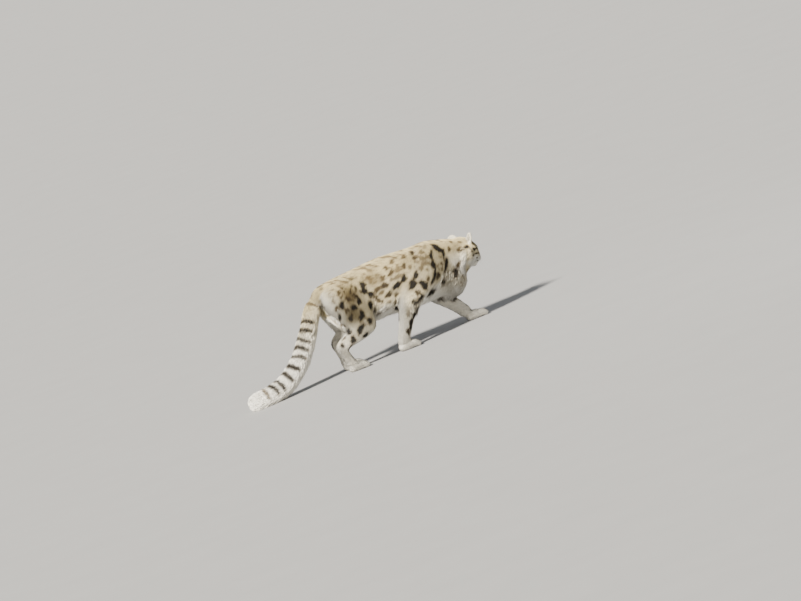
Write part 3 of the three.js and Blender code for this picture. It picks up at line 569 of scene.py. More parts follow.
# Marks of the face in the head's frame, repeated on both sides: place, half sizes, darkness.
faceMarks = [
    (0.010, 0.010, 0.085, 0.008, 0.006, 0.8), (0.030, 0.020, 0.075, 0.008, 0.005, 0.85),
    (0.012, 0.036, 0.080, 0.009, 0.006, 0.8), (0.036, 0.006, 0.070, 0.006, 0.004, 0.8),
    (0.048, 0.024, 0.062, 0.007, 0.005, 0.85), (0.034, 0.044, 0.062, 0.007, 0.005, 0.85),
    (0.060, 0.010, 0.056, 0.006, 0.004, 0.75), (-0.012, 0.020, 0.085, 0.010, 0.006, 0.8),
    (-0.034, 0.012, 0.085, 0.011, 0.007, 0.8), (0.062, 0.030, 0.048, 0.011, 0.005, 0.9),
    (0.016, 0.058, 0.052, 0.009, 0.005, 0.8), (0.030, 0.072, 0.016, 0.013, 0.005, 0.9),
    (0.008, 0.084, 0.012, 0.012, 0.005, 0.85), (-0.016, 0.088, 0.004, 0.014, 0.006, 0.8),
    (0.030, 0.080, -0.014, 0.012, 0.004, 0.8), (0.006, 0.090, -0.022, 0.014, 0.005, 0.75),
    (0.020, 0.080, -0.042, 0.013, 0.004, 0.6), (0.000, 0.070, 0.036, 0.009, 0.006, 0.75),
    (-0.022, 0.066, 0.040, 0.010, 0.006, 0.75), (0.084, 0.027, 0.004, 0.009, 0.0024, 0.85),
    (0.103, 0.026, -0.014, 0.003, 0.0022, 0.6), (0.096, 0.034, -0.015, 0.003, 0.0022, 0.6),
    (0.106, 0.028, -0.022, 0.003, 0.0022, 0.6), (0.098, 0.037, -0.023, 0.003, 0.0022, 0.6),
    (0.104, 0.030, -0.030, 0.003, 0.0022, 0.6), (0.095, 0.039, -0.031, 0.003, 0.0022, 0.6),
    (0.088, 0.042, -0.020, 0.003, 0.0022, 0.5), (0.086, 0.044, -0.029, 0.003, 0.0022, 0.5),
]

skinTree = BVHTree.FromPolygons([tuple(p) for p in points], [tuple(f.vertices) for f in skinMesh.polygons])


def grouped(points):
    # the points, ready to be searched by place
    tree = KDTree(len(points))
    for index, at in enumerate(points):
        tree.insert(at, index)
    tree.balance()
    return tree


pointTree = grouped(points)


def markAt(at, index, length, width, dark, ring=0):
    normal = normals[index]
    way = ways[index]
    return dict(
        at=np.array(at), normal=normal, way=way, across=np.cross(normal, way), length=length,
        width=width, dark=dark, ring=ring, turns=rng.uniform(0, 2 * math.pi, 3),
    )


def seenAt(x, y):
    return skinTree.ray_cast(atPixel(x, y, -2), lookAlong)[0]


def grown(x, y, length, width, dark, ring=0):
    size = coat["markSize"]
    dark = min(1, coat["markFloor"] + dark * coat["markGain"])
    return x, y, length * size, width * size, dark, ring


def seenMark(x, y, *sizes):
    at = seenAt(x, y)
    return [] if at is None else [markAt(at, pointTree.find(at)[1], *sizes)]


def seenInPhoto(index):
    start = Vector(points[index] + normals[index] * 0.02)
    return normals[index] @ np.array(lookAlong) < -0.12 and skinTree.ray_cast(start, -lookAlong)[0] is None


def unseenMarks():
    # the sides that the photo hides get marks of their region, evenly but irregularly spread
    made = []
    taken = []
    for index in rng.permutation(len(points)):
        kind = markKinds.get(ownerRegions[index])
        if kind is None or bellyWeight[index] > 0.45 or normals[index][2] < -0.75:
            continue
        at = points[index]
        if any(abs(at[0] - o[0]) < kind["apart"] and np.linalg.norm(at - o) < kind["apart"] for o in taken):
            continue
        if seenInPhoto(index):
            continue
        taken.append(at)
        size = rng.uniform(0.8, 1.2)
        long, wide = kind["length"] * size, kind["width"] * size
        made.append(markAt(at, index, long, wide, kind["dark"], kind["ring"]))
    return made


def headMarks():
    made = []
    for x, y, z, length, width, dark in faceMarks:
        for side in (1, -1):
            at, index, _ = pointTree.find(onHead(x, side * y, z))
            made.append(markAt(at, index, length, width, dark))
    return made


marks = [mark for row in photoMarks for mark in seenMark(*grown(*row))]
marks += unseenMarks() + headMarks()
patches = [mark for row in warmPatches for mark in seenMark(*row)]
print("marks", len(marks))


def onTail(points):
    # how far along the tail each point is, and how much it faces the tail's outer side
    best = np.full(len(points), np.inf)
    along = np.zeros(len(points))
    outer = np.zeros(len(points))
    run = 0
    for start, end in zip(tailPath[:-1], tailPath[1:]):
        step = end - start
        share = np.clip((points - start) @ step / (step @ step), 0, 1)
        off = points - start - share[:, None] * step
        gap = np.linalg.norm(off, axis=1)
        upward = np.array((step[2], 0, -step[0])) / np.hypot(step[0], step[2])
        near = gap < best
        along[near] = (run + share * np.linalg.norm(step))[near]
        outer[near] = (off @ upward / np.maximum(gap, 1e-6))[near]
        best[near] = gap[near]
        run += np.linalg.norm(step)
    return along, outer, best


def tailBarShare(points):
    along, outer, gap = onTail(points)
    share = np.zeros(len(points))
    lateral = points @ np.array((0, 1, 0)) * 60
    for number, (x, y, width, dark) in enumerate(tailBars):
        at = seenAt(x, y)
        if at is None:
            continue
        middle = onTail(np.array([at]))[0][0]
        bent = along + 0.005 * np.sin(lateral + number * 2.1)
        thin = width * (0.75 + 0.45 * smoothStep(-0.3, 0.6, outer))
        bar = smoothStep(1.25, 0.7, np.abs(bent - middle) / thin) * smoothStep(-0.45, 0.0, outer)
        share = np.maximum(share, bar * dark)
    return share * (gap < 0.09)


def reachOf(mark, tree, points):
    # the points near a mark, with how far out each is, 1 at its edge, and its direction
    span = 1.8 * max(mark["length"], mark["width"])
    found = np.array([i for _, i, _ in tree.find_range(mark["at"], span)], int)
    offset = points[found] - mark["at"]
    along = offset @ mark["way"] / mark["length"]
    over = offset @ mark["across"] / mark["width"]
    return found, np.hypot(along, over), np.arctan2(over, along)


def markedShare(points, normals, tree):
    # how dark the marks make each point
    share = tailBarShare(points)
    for mark in marks:
        found, reach, angle = reachOf(mark, tree, points)
        first, second, third = mark["turns"]
        reach = reach / (1.05 + 0.17 * np.sin(2 * angle + first) + 0.15 * np.sin(3 * angle + second)
                         + 0.07 * np.sin(5 * angle + third))
        dark = np.maximum(smoothStep(1.15, 0.75, reach), 0.34 * smoothStep(1.7, 1.0, reach))
        if mark["ring"]:
            broken = smoothStep(-0.85, -0.4, np.sin(4 * angle + third) + 0.35 * np.sin(7 * angle + first))
            dark = dark * (0.34 + 0.66 * smoothStep(0.40, 0.62, reach) * broken)
        facing = smoothStep(-0.1, 0.25, normals[found] @ mark["normal"])
        share[found] = np.maximum(share[found], dark * facing * mark["dark"])
    return share


def warmShare(points, normals, tree):
    share = np.zeros(len(points))
    for mark in patches:
        found, reach, _ = reachOf(mark, tree, points)
        facing = smoothStep(0, 0.4, normals[found] @ mark["normal"])
        share[found] = np.maximum(share[found], smoothStep(1.1, 0.2, reach) * facing * mark["dark"])
    return share


def mixed(a, b, share):
    return a + (b - a) * share[:, None]


def mottle(points, scale, seed):
    # a soft uneven pattern from a few waves, about -1 to 1
    waves = np.random.default_rng(seed)
    total = np.zeros(len(points))
    for _ in range(7):
        total += np.sin(points @ (waves.normal(size=3) * scale) + waves.uniform(0, 6.28))
    return total / 3.5


def paleShare(points):
    # the white of the muzzle and chin
    local = toHead(points)
    muzzle = smoothStep(0.050, 0.085, local[:, 0]) * smoothStep(0.004, -0.012, local[:, 2])
    chin = smoothStep(-0.015, -0.045, local[:, 2]) * smoothStep(-0.05, 0.02, local[:, 0])
    close = smoothStep(0.18, 0.14, np.linalg.norm(local, axis=1))
    return np.clip(muzzle + chin, 0, 1) * close


def tinted(points, normals, regionNames):
    # the colour of the coat at each point
    walk = points - np.array(origin)
    count = len(points)
    tree = grouped(points)
    onLimb = np.isin(regionNames, ["leg", "paw"])
    tailNames = regionNames == "tail"
    sideways = smoothStep(0.7, 0.0, normals[:, 2] + 0.15 * mottle(points, 22, 1))
    low = smoothStep(-0.15, -0.75, normals[:, 2]) * ~tailNames
    # the rear sides of the legs are paler: partly their own pale fur, partly painted sunlight where they face
    # the key light
    rearPaleAndPaintedLight = onLimb * smoothStep(0.0, -0.7, normals[:, 0]) * 0.85
    limb = onLimb * smoothStep(0.30, 0.12, walk[:, 2]) * 0.7
    inner = onLimb * smoothStep(0.2, 0.8, -normals[:, 1] * np.sign(walk[:, 1])) * 0.7
    tailPale = tailNames * smoothStep(0.44, 0.14, walk[:, 2]) * 0.9
    ruff = 0.7 * (regionNames == "neck") * smoothStep(0.45, 0.33, walk[:, 2])
    ear = 0.5 * (regionNames == "ear")
    white = np.clip(np.maximum.reduce([low, rearPaleAndPaintedLight, limb, inner, tailPale, ruff, ear, paleShare(points)]), 0, 1)
    warm = warmShare(points, normals, tree)
    # the lower neck and chest are mixed toward a dark grey: partly their own greyer fur, partly painted shade
    # under the chest
    throatGreyAndPaintedShade = smoothStep(0.60, 0.74, walk[:, 0]) * smoothStep(0.40, 0.30, walk[:, 2])
    throatGreyAndPaintedShade = throatGreyAndPaintedShade * np.isin(regionNames, ["neck", "torso"])
    tint = np.tile(colours["back"], (count, 1))
    for name, share in (("flank", sideways), ("belly", white), ("olive", warm), ("chestGreyAndPaintedShade", throatGreyAndPaintedShade * 0.6)):
        tint = mixed(tint, colours[name], share)
    dark = markedShare(points, normals, tree)
    spotted = np.isin(regionNames, ["torso", "neck", "leg"]) * (1 - np.maximum(low, rearPaleAndPaintedLight))
    spotted = spotted * smoothStep(0.12, 0.24, walk[:, 2])
    dark = np.maximum(dark, coat["flecks"] * smoothStep(0.35, 0.95, mottle(points, 75, 7)) * spotted)
    mark = np.tile(colours["markWarm"], (count, 1))
    mark = mixed(mark, colours["mark"], smoothStep(0.5, 0.9, dark))
    tint = mixed(tint, mark, smoothStep(0.05, 0.7, dark))
    return tint * (1 + 0.10 * mottle(points, 45, 2) + 0.06 * mottle(points, 160, 3))[:, None]


def setTint(mesh, tint):
    layer = mesh.color_attributes.new("tint", "FLOAT_COLOR", "POINT")
    rows = np.ones((len(tint), 4))
    rows[:, :3] = tint
    layer.data.foreach_set("color", rows.ravel())


skinTint = tinted(points, normals, ownerRegions)
setTint(skinMesh, skinTint)
print("skin coloured")

skinMesh.calc_loop_triangles()
triangles = fetched(skinMesh.loop_triangles, "vertices", 3, int)
triangleFace = fetched(skinMesh.loop_triangles, "polygon_index", kind=int)
triangleLoops = fetched(skinMesh.loop_triangles, "loops", 3, int)
loopStart = fetched(skinMesh.polygons, "loop_start", kind=int)
loopTotal = fetched(skinMesh.polygons, "loop_total", kind=int)
loopVertex = fetched(skinMesh.loops, "vertex_index", kind=int)

# Where no tuft grows, how much of the coat is long, and how closely each triangle is set with tufts.
lipBare = mouth > 0.3
soleBare = points[:, 2] < 0.003
eyeBare = eyeGap < 0.0016
bare = noseBare | soleBare | eyeBare | lipBare
longShare = smoothStep(coat["longFrom"], coat["longFrom"] + 0.005, coatLength)
corners = points[triangles]
twoSides = np.cross(corners[:, 1] - corners[:, 0], corners[:, 2] - corners[:, 0])
triangleArea = np.linalg.norm(twoSides, axis=1) / 2
triangleClose = triangleArea * coatClose[triangles].mean(1) * ~bare[triangles].any(1)


def sampled(count, weight):
    total = np.cumsum(weight)
    at = np.searchsorted(total, (np.arange(count) + rng.random(count)) / count * total[-1])
    at = np.minimum(at, len(triangles) - 1)
    mix = rng.random((count, 2))
    mix = np.where(mix.sum(1)[:, None] > 1, 1 - mix, mix)
    return at, np.column_stack([1 - mix.sum(1), mix])


def nearestSkin(places):
    at, way = np.empty_like(places), np.empty_like(places)
    for index, spot in enumerate(places):
        at[index], way[index], _, _ = skinTree.find_nearest(spot)
    return at, way


# A short tuft is a closed spike of three sides. A long one has a ring half way, where it bends.
spikeFaces = [(0, 2, 1), (0, 1, 3), (1, 2, 3), (2, 0, 3)]
bladeFaces = [(0, 2, 1), (0, 1, 4, 3), (1, 2, 5, 4), (2, 0, 3, 5), (3, 4, 6), (4, 5, 6), (5, 3, 6)]
spikePatch = np.array([(-1, -1), (1, -1), (0, -1), (0, 1)]) * coat["patch"] / 2
bladePatch = np.array([(-1, -1), (1, -1), (0, -1), (-1, 0), (1, 0), (0, 0), (0, 1)]) * coat["patch"] / 2
# each tuft's corners are painted darker at the root and lighter at the tip: painted shade deep in the coat
# and a painted highlight on the tips
tuftKinds = {
    "short": dict(count=coat["short"], share=1 - longShare, faces=spikeFaces, patch=spikePatch, bent=False,
                  paintedRootShadeTipHighlight=(0.68, 0.68, 0.74, 1.14), most=49000),
    "long": dict(count=coat["long"], share=longShare, faces=bladeFaces, patch=bladePatch, bent=True,
                 paintedRootShadeTipHighlight=(0.62, 0.62, 0.62, 0.96, 0.96, 0.98, 1.07), most=19500),
}


def layTufts(count, share, bent, paintedRootShadeTipHighlight, **others):
    thinned = 1
    wider = 1 / math.sqrt(thinned)
    count = int(count * thinned)
    at, mix = sampled(count, triangleClose * share[triangles].mean(1))

    def blended(values):
        picked = values[triangles[at]]
        return (picked * (mix if values.ndim == 1 else mix[:, :, None])).sum(1)

    root = blended(points)
    up = unit(blended(normals))
    lie = blended(ways)
    lie = unit(lie - up * dots(lie, up)[:, None])
    lie = unit(lie + np.cross(up, lie) * rng.normal(0, 0.15, count)[:, None])
    side = np.cross(up, lie)
    length = blended(coatLength) * rng.uniform(0.72, 1.2, count)
    wide = blended(coatWidth) * rng.uniform(0.8, 1.2, count) * wider
    rise = np.radians(blended(coatRise)) * rng.uniform(0.5, 1.4, count)
    lift = length * 0.5 * np.sin(rise)
    tipFoot, tipUp = nearestSkin(root + lie * (length * 0.97)[:, None])
    tip = tipFoot + tipUp * (lift * rng.uniform(0.75, 1.25, count))[:, None]
    hanging = smoothStep(0.03, 0.05, length) * smoothStep(0.2, -0.5, up[:, 2])
    tip[:, 2] -= length * 0.2 * hanging

    def ring(centre, up, wide):
        half = side * (wide / 2)[:, None]
        return [centre - half, centre + half, centre + up * (wide * 0.4)[:, None]]

    rings = ring(root - up * coat["rootDepth"], up, wide)
    if bent:
        foot, middleUp = nearestSkin(root + lie * (length * 0.5 * np.cos(rise))[:, None])
        middle = foot + middleUp * lift[:, None]
        rings += ring(middle, unit(up + middleUp), wide)
    corners = np.stack(rings + [tip], 1)
    corners[:, :, 2] = np.maximum(corners[:, :, 2], coat["aboveFloor"])
    region = ownerRegions[triangles[at, 0]]
    stray = rng.normal(0, 0.09, (count, 2)) * (region != "tail")[:, None] * length[:, None]
    stray = lie * stray[:, :1] + side * stray[:, 1:]
    if bent:
        # the markings run across the long tufts, which change colour on the way
        heights = (root * 0.4 + middle * 0.6, middle * 0.6 + tip * 0.4, tip)
        levels = [tinted(height + stray, up, region) for height in heights]
        tint = np.stack([levels[0]] * 3 + [levels[1]] * 3 + [levels[2]], 1)
    else:
        shown = tip * 0.5 + root * 0.5
        tint = np.repeat(tinted(shown + stray, up, region)[:, None], 4, axis=1)
    # painted shade at each tuft's root and a painted highlight at its tip
    tint = tint * rng.uniform(0.86, 1.12, count)[:, None, None] * np.array(paintedRootShadeTipHighlight)[None, :, None]
    return dict(corners=corners, region=region, at=at, mix=mix, order=root[:, 0], tint=tint)


def skinUnwrap(faces):
    # an unwrap of the skin's own shape over these faces, as a place for each corner of the skin
    loops = np.concatenate([np.arange(loopStart[f], loopStart[f] + loopTotal[f]) for f in faces])
    used, local = np.unique(loopVertex[loops], return_inverse=True)
    ends = np.cumsum(loopTotal[faces])[:-1]
    mesh = bpy.data.meshes.new("unwrap")
    mesh.from_pydata(points[used], [], [row.tolist() for row in np.split(local.ravel(), ends)])
    mesh.uv_layers.new(name="flat")
    patch = linked("unwrap", mesh)
    bpy.context.view_layer.objects.active = patch
    bpy.ops.object.mode_set(mode="EDIT")
    bpy.ops.mesh.select_all(action="SELECT")
    bpy.ops.uv.smart_project(angle_limit=math.radians(66), island_margin=0.002)
    bpy.ops.object.mode_set(mode="OBJECT")
    table = np.zeros((len(loopVertex), 2))
    table[loops] = fetched(mesh.uv_layers["flat"].data, "uv", 2)
    bpy.data.meshes.remove(mesh)
    return table


def coatPiece(name, tufts, chosen, faces, patch, **others):
    count = len(chosen)
    across = len(patch)
    loops = np.concatenate([np.array(face) for face in faces])
    starts = np.cumsum([0] + [len(face) for face in faces[:-1]])
    tuft = np.arange(count)[:, None]
    mesh = bpy.data.meshes.new(name)
    mesh.vertices.add(across * count)
    mesh.vertices.foreach_set("co", tufts["corners"][chosen].ravel())
    mesh.loops.add(len(loops) * count)
    mesh.loops.foreach_set("vertex_index", (loops + across * tuft).ravel())
    mesh.polygons.add(len(faces) * count)
    mesh.polygons.foreach_set("loop_start", (starts + len(loops) * tuft).ravel())
    mesh.update(calc_edges=True)
    smoothFaces(mesh)
    setTint(mesh, tufts["tint"][chosen].reshape(-1, 3))
    at = tufts["at"][chosen]
    table = skinUnwrap(np.unique(triangleFace[at]))
    rootPlace = (table[triangleLoops[at]] * tufts["mix"][chosen][:, :, None]).sum(1)
    flat = mesh.uv_layers.new(name="OFBake")
    flat.data.foreach_set("uv", (rootPlace[:, None, :] + patch[loops][None]).ravel())
    finishPiece(linked(name, mesh), coatMaterial)


def makeCoat():
    # each region's tufts, parted along the body where they are too many for one piece
    for kind, sizes in tuftKinds.items():
        tufts = layTufts(**sizes)
        for region in regions:
            chosen = np.nonzero(tufts["region"] == region)[0]
            order = chosen[np.argsort(tufts["order"][chosen], kind="stable")]
            parts = math.ceil(len(chosen) / sizes["most"])
            for number, rows in enumerate(np.array_split(order, parts) if parts else [], 1):
                coatPiece(f"coat_{kind}_{region}_{number}", tufts, rows, **sizes)
        print(kind, "tufts", len(tufts["at"]))


def finishPiece(piece, material):
    piece.data.materials.append(material)
    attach(piece, "root")


class Value:
    # a node's output, which products and differences can be written with
    def __init__(self, paint, socket):
        self.paint = paint
        self.socket = socket

    def __sub__(self, other):
        return self.paint.math("SUBTRACT", self, other)

    def __mul__(self, other):
        return self.paint.math("MULTIPLY", self, other)

    def __rsub__(self, other):
        return self.paint.math("SUBTRACT", other, self)

    def __rmul__(self, other):
        return self.paint.math("MULTIPLY", other, self)


class Paint:
    # a material whose nodes are made by one method
    def __init__(self, name, **constants):
        self.material = bpy.data.materials.new(name)
        self.material.use_nodes = True
        self.tree = self.material.node_tree
        self.shader = self.tree.nodes["Principled BSDF"]
        for key, value in constants.items():
            self.shader.inputs[key.replace("_", " ")].default_value = value

    def node(self, kind, out, settings, **values):
        made = self.tree.nodes.new("ShaderNode" + kind)
        for key, value in settings.items():
            setattr(made, key, value)
        for key, value in values.items():
            numbered = key[0] == "n" and key[1:].isdigit()
            self.feed(made.inputs[int(key[1:]) if numbered else key.replace("_", " ")], value)
        return Value(self, made.outputs[out])

    def feed(self, socket, value):
        if isinstance(value, Value):
            self.tree.links.new(value.socket, socket)
        else:
            socket.default_value = value

    def math(self, operation, a, b):
        return self.node("Math", 0, {"operation": operation}, n0=a, n1=b)

    def set(self, name, value):
        self.feed(self.shader.inputs[name], value)

    def noise(self, scale, detail):
        onPiece = self.node("TexCoord", "Object", {})
        return self.node("TexNoise", "Fac", {}, Vector=onPiece, Scale=scale, Detail=detail)

    def ramp(self, value, low, high, outLow, outHigh):
        stops = dict(From_Min=low, From_Max=high, To_Min=outLow, To_Max=outHigh)
        return self.node("MapRange", 0, {}, Value=value, **stops)

    def attribute(self, name, out="Color"):
        return self.node("Attribute", out, {"attribute_name": name})

    def shaded(self, colour, brightness):
        return self.node("VectorMath", 0, {"operation": "SCALE"}, Vector=colour, Scale=brightness)

    def bump(self, height, strength, distance):
        made = self.node("Bump", 0, {}, Height=height, Strength=strength, Distance=distance)
        self.set("Normal", made)


def makeCoatMaterial():
    paint = Paint("coat", Roughness=0.66, Specular_IOR_Level=0.15, Sheen_Weight=0.06, Sheen_Roughness=0.5)
    uneven = paint.ramp(paint.noise(420, 2), 0.3, 0.7, 0.86, 1.12)
    paint.set("Base Color", paint.shaded(paint.attribute("tint"), uneven))
    paint.bump(paint.noise(900, 2), 0.35, 0.0006)
    return paint.material


def makeSkinMaterial():
    paint = Paint("skin", Specular_IOR_Level=0.3)
    uneven = paint.ramp(paint.noise(300, 4), 0.3, 0.7, 0.8, 1.15)
    paint.set("Base Color", paint.shaded(paint.attribute("tint"), uneven))
    paint.set("Roughness", 0.75 - paint.attribute("wet", "Fac") * 0.43)
    grain = paint.noise(650, 3)
    paint.bump(grain, 0.5, 0.0012)
    return paint.material


def makeEyeMaterial():
    paint = Paint("eye", Roughness=0.06, Coat_Weight=0.25, Coat_Roughness=0.02, Specular_IOR_Level=0.2)
    streaks = paint.ramp(paint.noise(900, 3), 0.3, 0.7, 0.75, 1.2)
    paint.set("Base Color", paint.shaded(paint.attribute("tint"), streaks))
    return paint.material


def makeWhiskerMaterial():
    paint = Paint("whisker", Roughness=0.35)
    uneven = paint.ramp(paint.noise(200, 1), 0, 1, 0.9, 1.1)
    paint.set("Base Color", paint.shaded(paint.attribute("tint"), uneven))
    return paint.material


coatMaterial = makeCoatMaterial()
skinMaterial = makeSkinMaterial()
eyeMaterial = makeEyeMaterial()
whiskerMaterial = makeWhiskerMaterial()


def finishSkin():
    # bare skin has its own colour and is moister
    tint = skinTint * (0.8 + 0.14 * np.isin(ownerRegions, ["paw", "head"]))[:, None]
    for chosen, colour in ((soleBare, "pad"), (noseBare, "nose"), (eyeGap < 0.0012, "rim")):
        tint[chosen] = colours[colour]
    tint = mixed(tint, colours["rim"], smoothStep(0.05, 0.4, mouth))
    # the nostrils are painted near black: painted shade in their hollows
    tint = mixed(tint, colours["rim"], nostrils)
    rows = np.ones((len(points), 4))
    rows[:, :3] = relaxed(tint, pairs, 1, 0.35)
    skinMesh.color_attributes["tint"].data.foreach_set("color", rows.ravel())
    # lips and the rims of the eyes are less wet than the nose, and nothing is wetter than 1
    wet = np.minimum(relaxed(noseBare + 0.6 * (eyeBare | lipBare), pairs, 1), 1)
    skinMesh.attributes.new("wet", "FLOAT", "POINT").data.foreach_set("value", wet)


finishSkin()
smoothFaces(skinMesh)
skinPiece = linked("skin", skinMesh)
finishPiece(skinPiece, skinMaterial)
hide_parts(*fleshNames)
makeCoat()

eyes = {
    "gaze": (0.88, 0.36, 0.20),
    "pupil": (0.004, 0.004, 0.004),
    "inner": (0.42, 0.36, 0.16),
    "iris": (0.33, 0.36, 0.24),
    "limbus": (0.02, 0.016, 0.012),
}
lids = {
    "out": (0.86, 0.48, 0.10),
    "across": 56,  # the opening's half width, in degrees from the ball's middle
    "top": 29,
    "bottom": 33,
    "slant": 11,
    "power": 1.7,  # 2 is an ellipse, and less has sharper corners
    "outer": 82,
    "steps": 40,
    "dark": 3,  # how many of the rings are bare, dark and wet
    "tufts": 900,
    "from": 0.14,  # where the short coat starts, from 0 at the opening to 1 at the outer edge
    "length": 0.0042,
    "width": 0.0009,
    "pale": 0.6,
    # for each ring, how far it is from the opening to the outer edge, and from the ball's middle in radii
    "rings": [(0.0, 0.94), (0.0, 1.015), (0.05, 1.06), (0.14, 1.085), (0.32, 1.10), (0.62, 1.09), (1.0, 1.0),
              (1.0, 0.92)],
}


def headWay(way, towards):
    # a direction in the head's frame, on its left where towards is 1 and its right where it is -1
    x, y, z = way
    return (headTurn @ Vector((x, towards * y, z))).normalized()


def makeEye(name, towards):
    centre = ballOf(name)
    gaze = headWay(eyes["gaze"], towards)
    made = bmesh.new()
    bmesh.ops.create_uvsphere(made, u_segments=40, v_segments=60, radius=head["eyeRadius"])
    turn = gaze.to_track_quat("Z", "Y").to_matrix()
    for vert in made.verts:
        vert.co = Vector(centre) + turn @ vert.co
    mesh = meshFrom(made, name + "_ball")
    fromGaze = unit(fetched(mesh.vertices, "co", 3) - centre) @ np.array(gaze)
    off = np.degrees(np.arccos(np.clip(fromGaze, -1, 1)))
    tint = mixed(np.tile(eyes["pupil"], (len(off), 1)), np.array(eyes["inner"]), smoothStep(16, 18.5, off))
    tint = mixed(tint, np.array(eyes["iris"]), smoothStep(20, 34, off))
    tint = mixed(tint, np.array(eyes["limbus"]), smoothStep(47, 55, off))
    setTint(mesh, tint)
    smoothFaces(mesh)
    piece = linked(name + "_ball", mesh)
    finishPiece(piece, eyeMaterial)
    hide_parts(name)


def lidAxes(towards):
    out = np.array(headWay(lids["out"], towards))
    upward = np.array(headTurn @ Vector((0, 0, 1)))
    upward = unit((upward - out * (upward @ out))[None])[0]
    return out, np.cross(upward, out) * towards, upward


def lidPlaces(name, towards, turn, share, height):
    # places round an almond opening, a share of the way out to the lids' edge
    out, across, upward = lidAxes(towards)
    slant = turn - math.radians(lids["slant"])
    tall = np.where(np.sin(slant) > 0, lids["top"], lids["bottom"])
    wide, high = np.abs(np.cos(slant) / lids["across"]), np.abs(np.sin(slant) / tall)
    opening = (wide ** lids["power"] + high ** lids["power"]) ** (-1 / lids["power"])
    off = np.radians(opening + (lids["outer"] - opening) * share)[:, None]
    around = np.cos(turn)[:, None] * across + np.sin(turn)[:, None] * upward
    ray = np.cos(off) * out + np.sin(off) * around
    return ballOf(name) + ray * head["eyeRadius"] * np.reshape(height, (-1, 1)), ray


def makeLids(name, towards):
    # both lids of an eye, one closed ring round the opening
    count = lids["steps"]
    turn = np.arange(count) / count * 2 * math.pi
    rows = [lidPlaces(name, towards, turn, share, height)[0] for share, height in lids["rings"]]
    rings = len(rows)
    verts = np.concatenate(rows)
    made = bmesh.new()
    corners = [made.verts.new(at) for at in verts]
    for ring, step in itertools.product(range(rings), range(count)):
        first, second = ring * count, (ring + 1) % rings * count
        after = (step + 1) % count
        around = (first + step, first + after, second + after, second + step)
        made.faces.new([corners[k] for k in around])
    bmesh.ops.recalc_face_normals(made, faces=made.faces)
    mesh = meshFrom(made, name + "_lids")
    tint = tinted(verts, unit(verts - ballOf(name)), np.full(len(verts), "head")) * 0.9
    tint[:count * lids["dark"]] = colours["rim"]
    setTint(mesh, tint)
    wet = 0.7 * (np.arange(len(verts)) < lids["dark"] * count)
    mesh.attributes.new("wet", "FLOAT", "POINT").data.foreach_set("value", wet)
    smoothFaces(mesh)
    finishPiece(linked(name + "_lids", mesh), skinMaterial)
    lidCoat(name, towards)


def lidCoat(name, towards):
    # short tufts over the lids, running away from the opening and back
    count = lids["tufts"]
    turn = rng.uniform(0, 2 * math.pi, count)
    share = rng.uniform(lids["from"], 0.85, count)
    height = np.interp(share, *zip(*lids["rings"][1:-1]))
    root, ray = lidPlaces(name, towards, turn, share, height)
    beyond = lidPlaces(name, towards, turn, share + 0.1, height)[0]
    near = [skinTree.find_nearest(at)[2] for at in root]
    back = ways[loopVertex[loopStart[near]]]
    lie = unit(beyond - root) * 0.5 + back * 0.9 + rng.normal(0, 0.12, (count, 3))
    lie = unit(lie - ray * dots(lie, ray)[:, None])
    side = np.cross(ray, lie)
    length = lids["length"] * rng.uniform(0.7, 1.2, count)[:, None]
    half = side * lids["width"] / 2
    low = ray * 0.0003
    tip = root + lie * length + ray * length * 0.2
    corners = np.stack([root - half - low, root + half - low, root + ray * lids["width"] * 0.4, tip], 1)
    tint = tinted(root, ray, np.full(count, "head"))
    tint = mixed(tint, colours["belly"], np.full(count, lids["pale"]))
    tint = tint * rng.uniform(0.86, 1.12, count)[:, None]
    # painted shade at each lid tuft's root and a painted highlight at its tip
    tint = tint[:, None] * np.array(tuftKinds["short"]["paintedRootShadeTipHighlight"])[None, :, None]
    firstTriangle = np.searchsorted(triangleFace, near)
    tufts = dict(corners=corners, tint=tint, at=firstTriangle, mix=np.full((count, 3), 1 / 3))
    coatPiece("coat_lids_" + name, tufts, np.arange(count), spikeFaces, spikePatch)


whiskers = {
    "rows": 4,
    "columns": 4,
    "steps": 7,
    "front": (0.104, 0.029, -0.016),  # the foremost root of the top row, in the head's frame
    "apart": 0.008,
    "length": 0.064,
    "radius": 0.0004,
    "colour": (0.8, 0.78, 0.72),
}


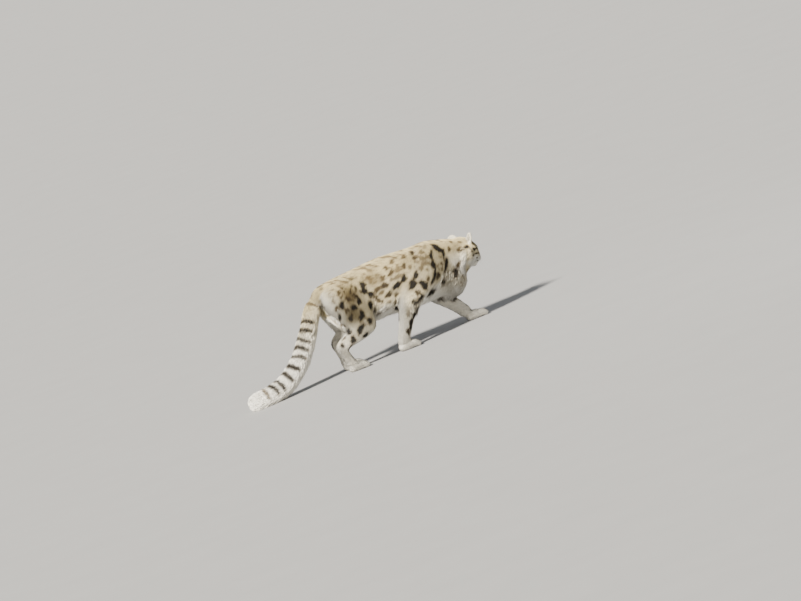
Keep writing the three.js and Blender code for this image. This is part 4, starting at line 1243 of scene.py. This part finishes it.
def makeWhiskers():
    verts, faces = [], []
    x, y, z = whiskers["front"]
    apart = whiskers["apart"]
    for side, row, column in itertools.product((1, -1), range(whiskers["rows"]), range(whiskers["columns"])):
        at = onHead(x - apart * column, side * (y + 0.005 * column), z - apart * row)
        start = Vector(skinTree.find_nearest(at)[0])
        way = headTurn @ Vector((-0.05 - 0.2 * column, side, 0.16 - 0.24 * row)).normalized()
        bend = headTurn @ Vector((-0.5, -0.15 * side, -0.25))
        long = whiskers["length"] * rng.uniform(0.75, 1.1) * (0.75 + 0.1 * column)
        first = len(verts)
        for k in range(whiskers["steps"] + 1):
            t = k / whiskers["steps"]
            middle = start + way * long * t + bend * long * t * t
            wide = whiskers["radius"] * (1 - 0.85 * t)
            along = (way + bend * 2 * t).normalized()
            one = along.orthogonal().normalized()
            two = along.cross(one)
            for corner in range(3):
                turn = corner * 2 * math.pi / 3
                verts.append(middle + one * wide * math.cos(turn) + two * wide * math.sin(turn))
            if k:
                low = first + 3 * (k - 1)
                faces += [(low + c, low + (c + 1) % 3, low + 3 + (c + 1) % 3, low + 3 + c) for c in range(3)]
        faces += [(first + 2, first + 1, first), tuple(len(verts) - 3 + c for c in range(3))]
    mesh = bpy.data.meshes.new("whiskers")
    mesh.from_pydata(verts, [], faces)
    setTint(mesh, np.tile(whiskers["colour"], (len(verts), 1)))
    finishPiece(linked("whiskers", mesh), whiskerMaterial)


for name, towards in (("eye_left", 1), ("eye_right", -1)):
    makeEye(name, towards)
    makeLids(name, towards)
makeWhiskers()
print("eyes and whiskers made")

ground = {"radius": 110, "colour": (0.30, 0.297, 0.29), "roughness": 0.85}


def makeFloor():
    made = bmesh.new()
    bmesh.ops.create_circle(made, cap_ends=True, segments=96, radius=ground["radius"])
    paint = Paint("floor", Roughness=ground["roughness"])
    speckle = paint.ramp(paint.noise(3, 2), 0.3, 0.7, 0.97, 1.0)
    paint.set("Base Color", paint.shaded(ground["colour"], speckle))
    floor = linked("floor", meshFrom(made, "floor"))
    floor.data.materials.append(paint.material)


lights = {
    "aim": (0.3, 0, 0.3),
    "key": dict(kind="SUN", at=(-3.6, -2.4, 3.7), size=8, power=15, colour=(1.0, 0.955, 0.87)),
    "fill": dict(kind="AREA", at=(3.4, -2.8, 2.2), size=3.0, power=30, colour=(0.90, 0.94, 1.0)),
    "world": (0.84, 0.87, 0.92, 0.46),
}


def makeLight(name, kind, at, size, power, colour):
    data = bpy.data.lights.new(name, kind)
    if kind == "SUN":
        data.angle = math.radians(size)
    else:
        data.size = size
    data.energy = power
    data.color = colour
    made = linked(name, data)
    made.location = place(*at)
    aim = place(*lights["aim"]) - made.location
    made.rotation_euler = aim.to_track_quat("-Z", "Y").to_euler()


def makeWorld():
    world = bpy.data.worlds.new("studio")
    world.use_nodes = True
    red, green, blue, strength = lights["world"]
    sky = world.node_tree.nodes["Background"]
    sky.inputs["Color"].default_value = (red, green, blue, 1)
    sky.inputs["Strength"].default_value = strength
    bpy.context.scene.world = world


makeFloor()
makeLight("key", **lights["key"])
makeLight("fill", **lights["fill"])
makeWorld()
print("floor and lights made")

print("scene done")
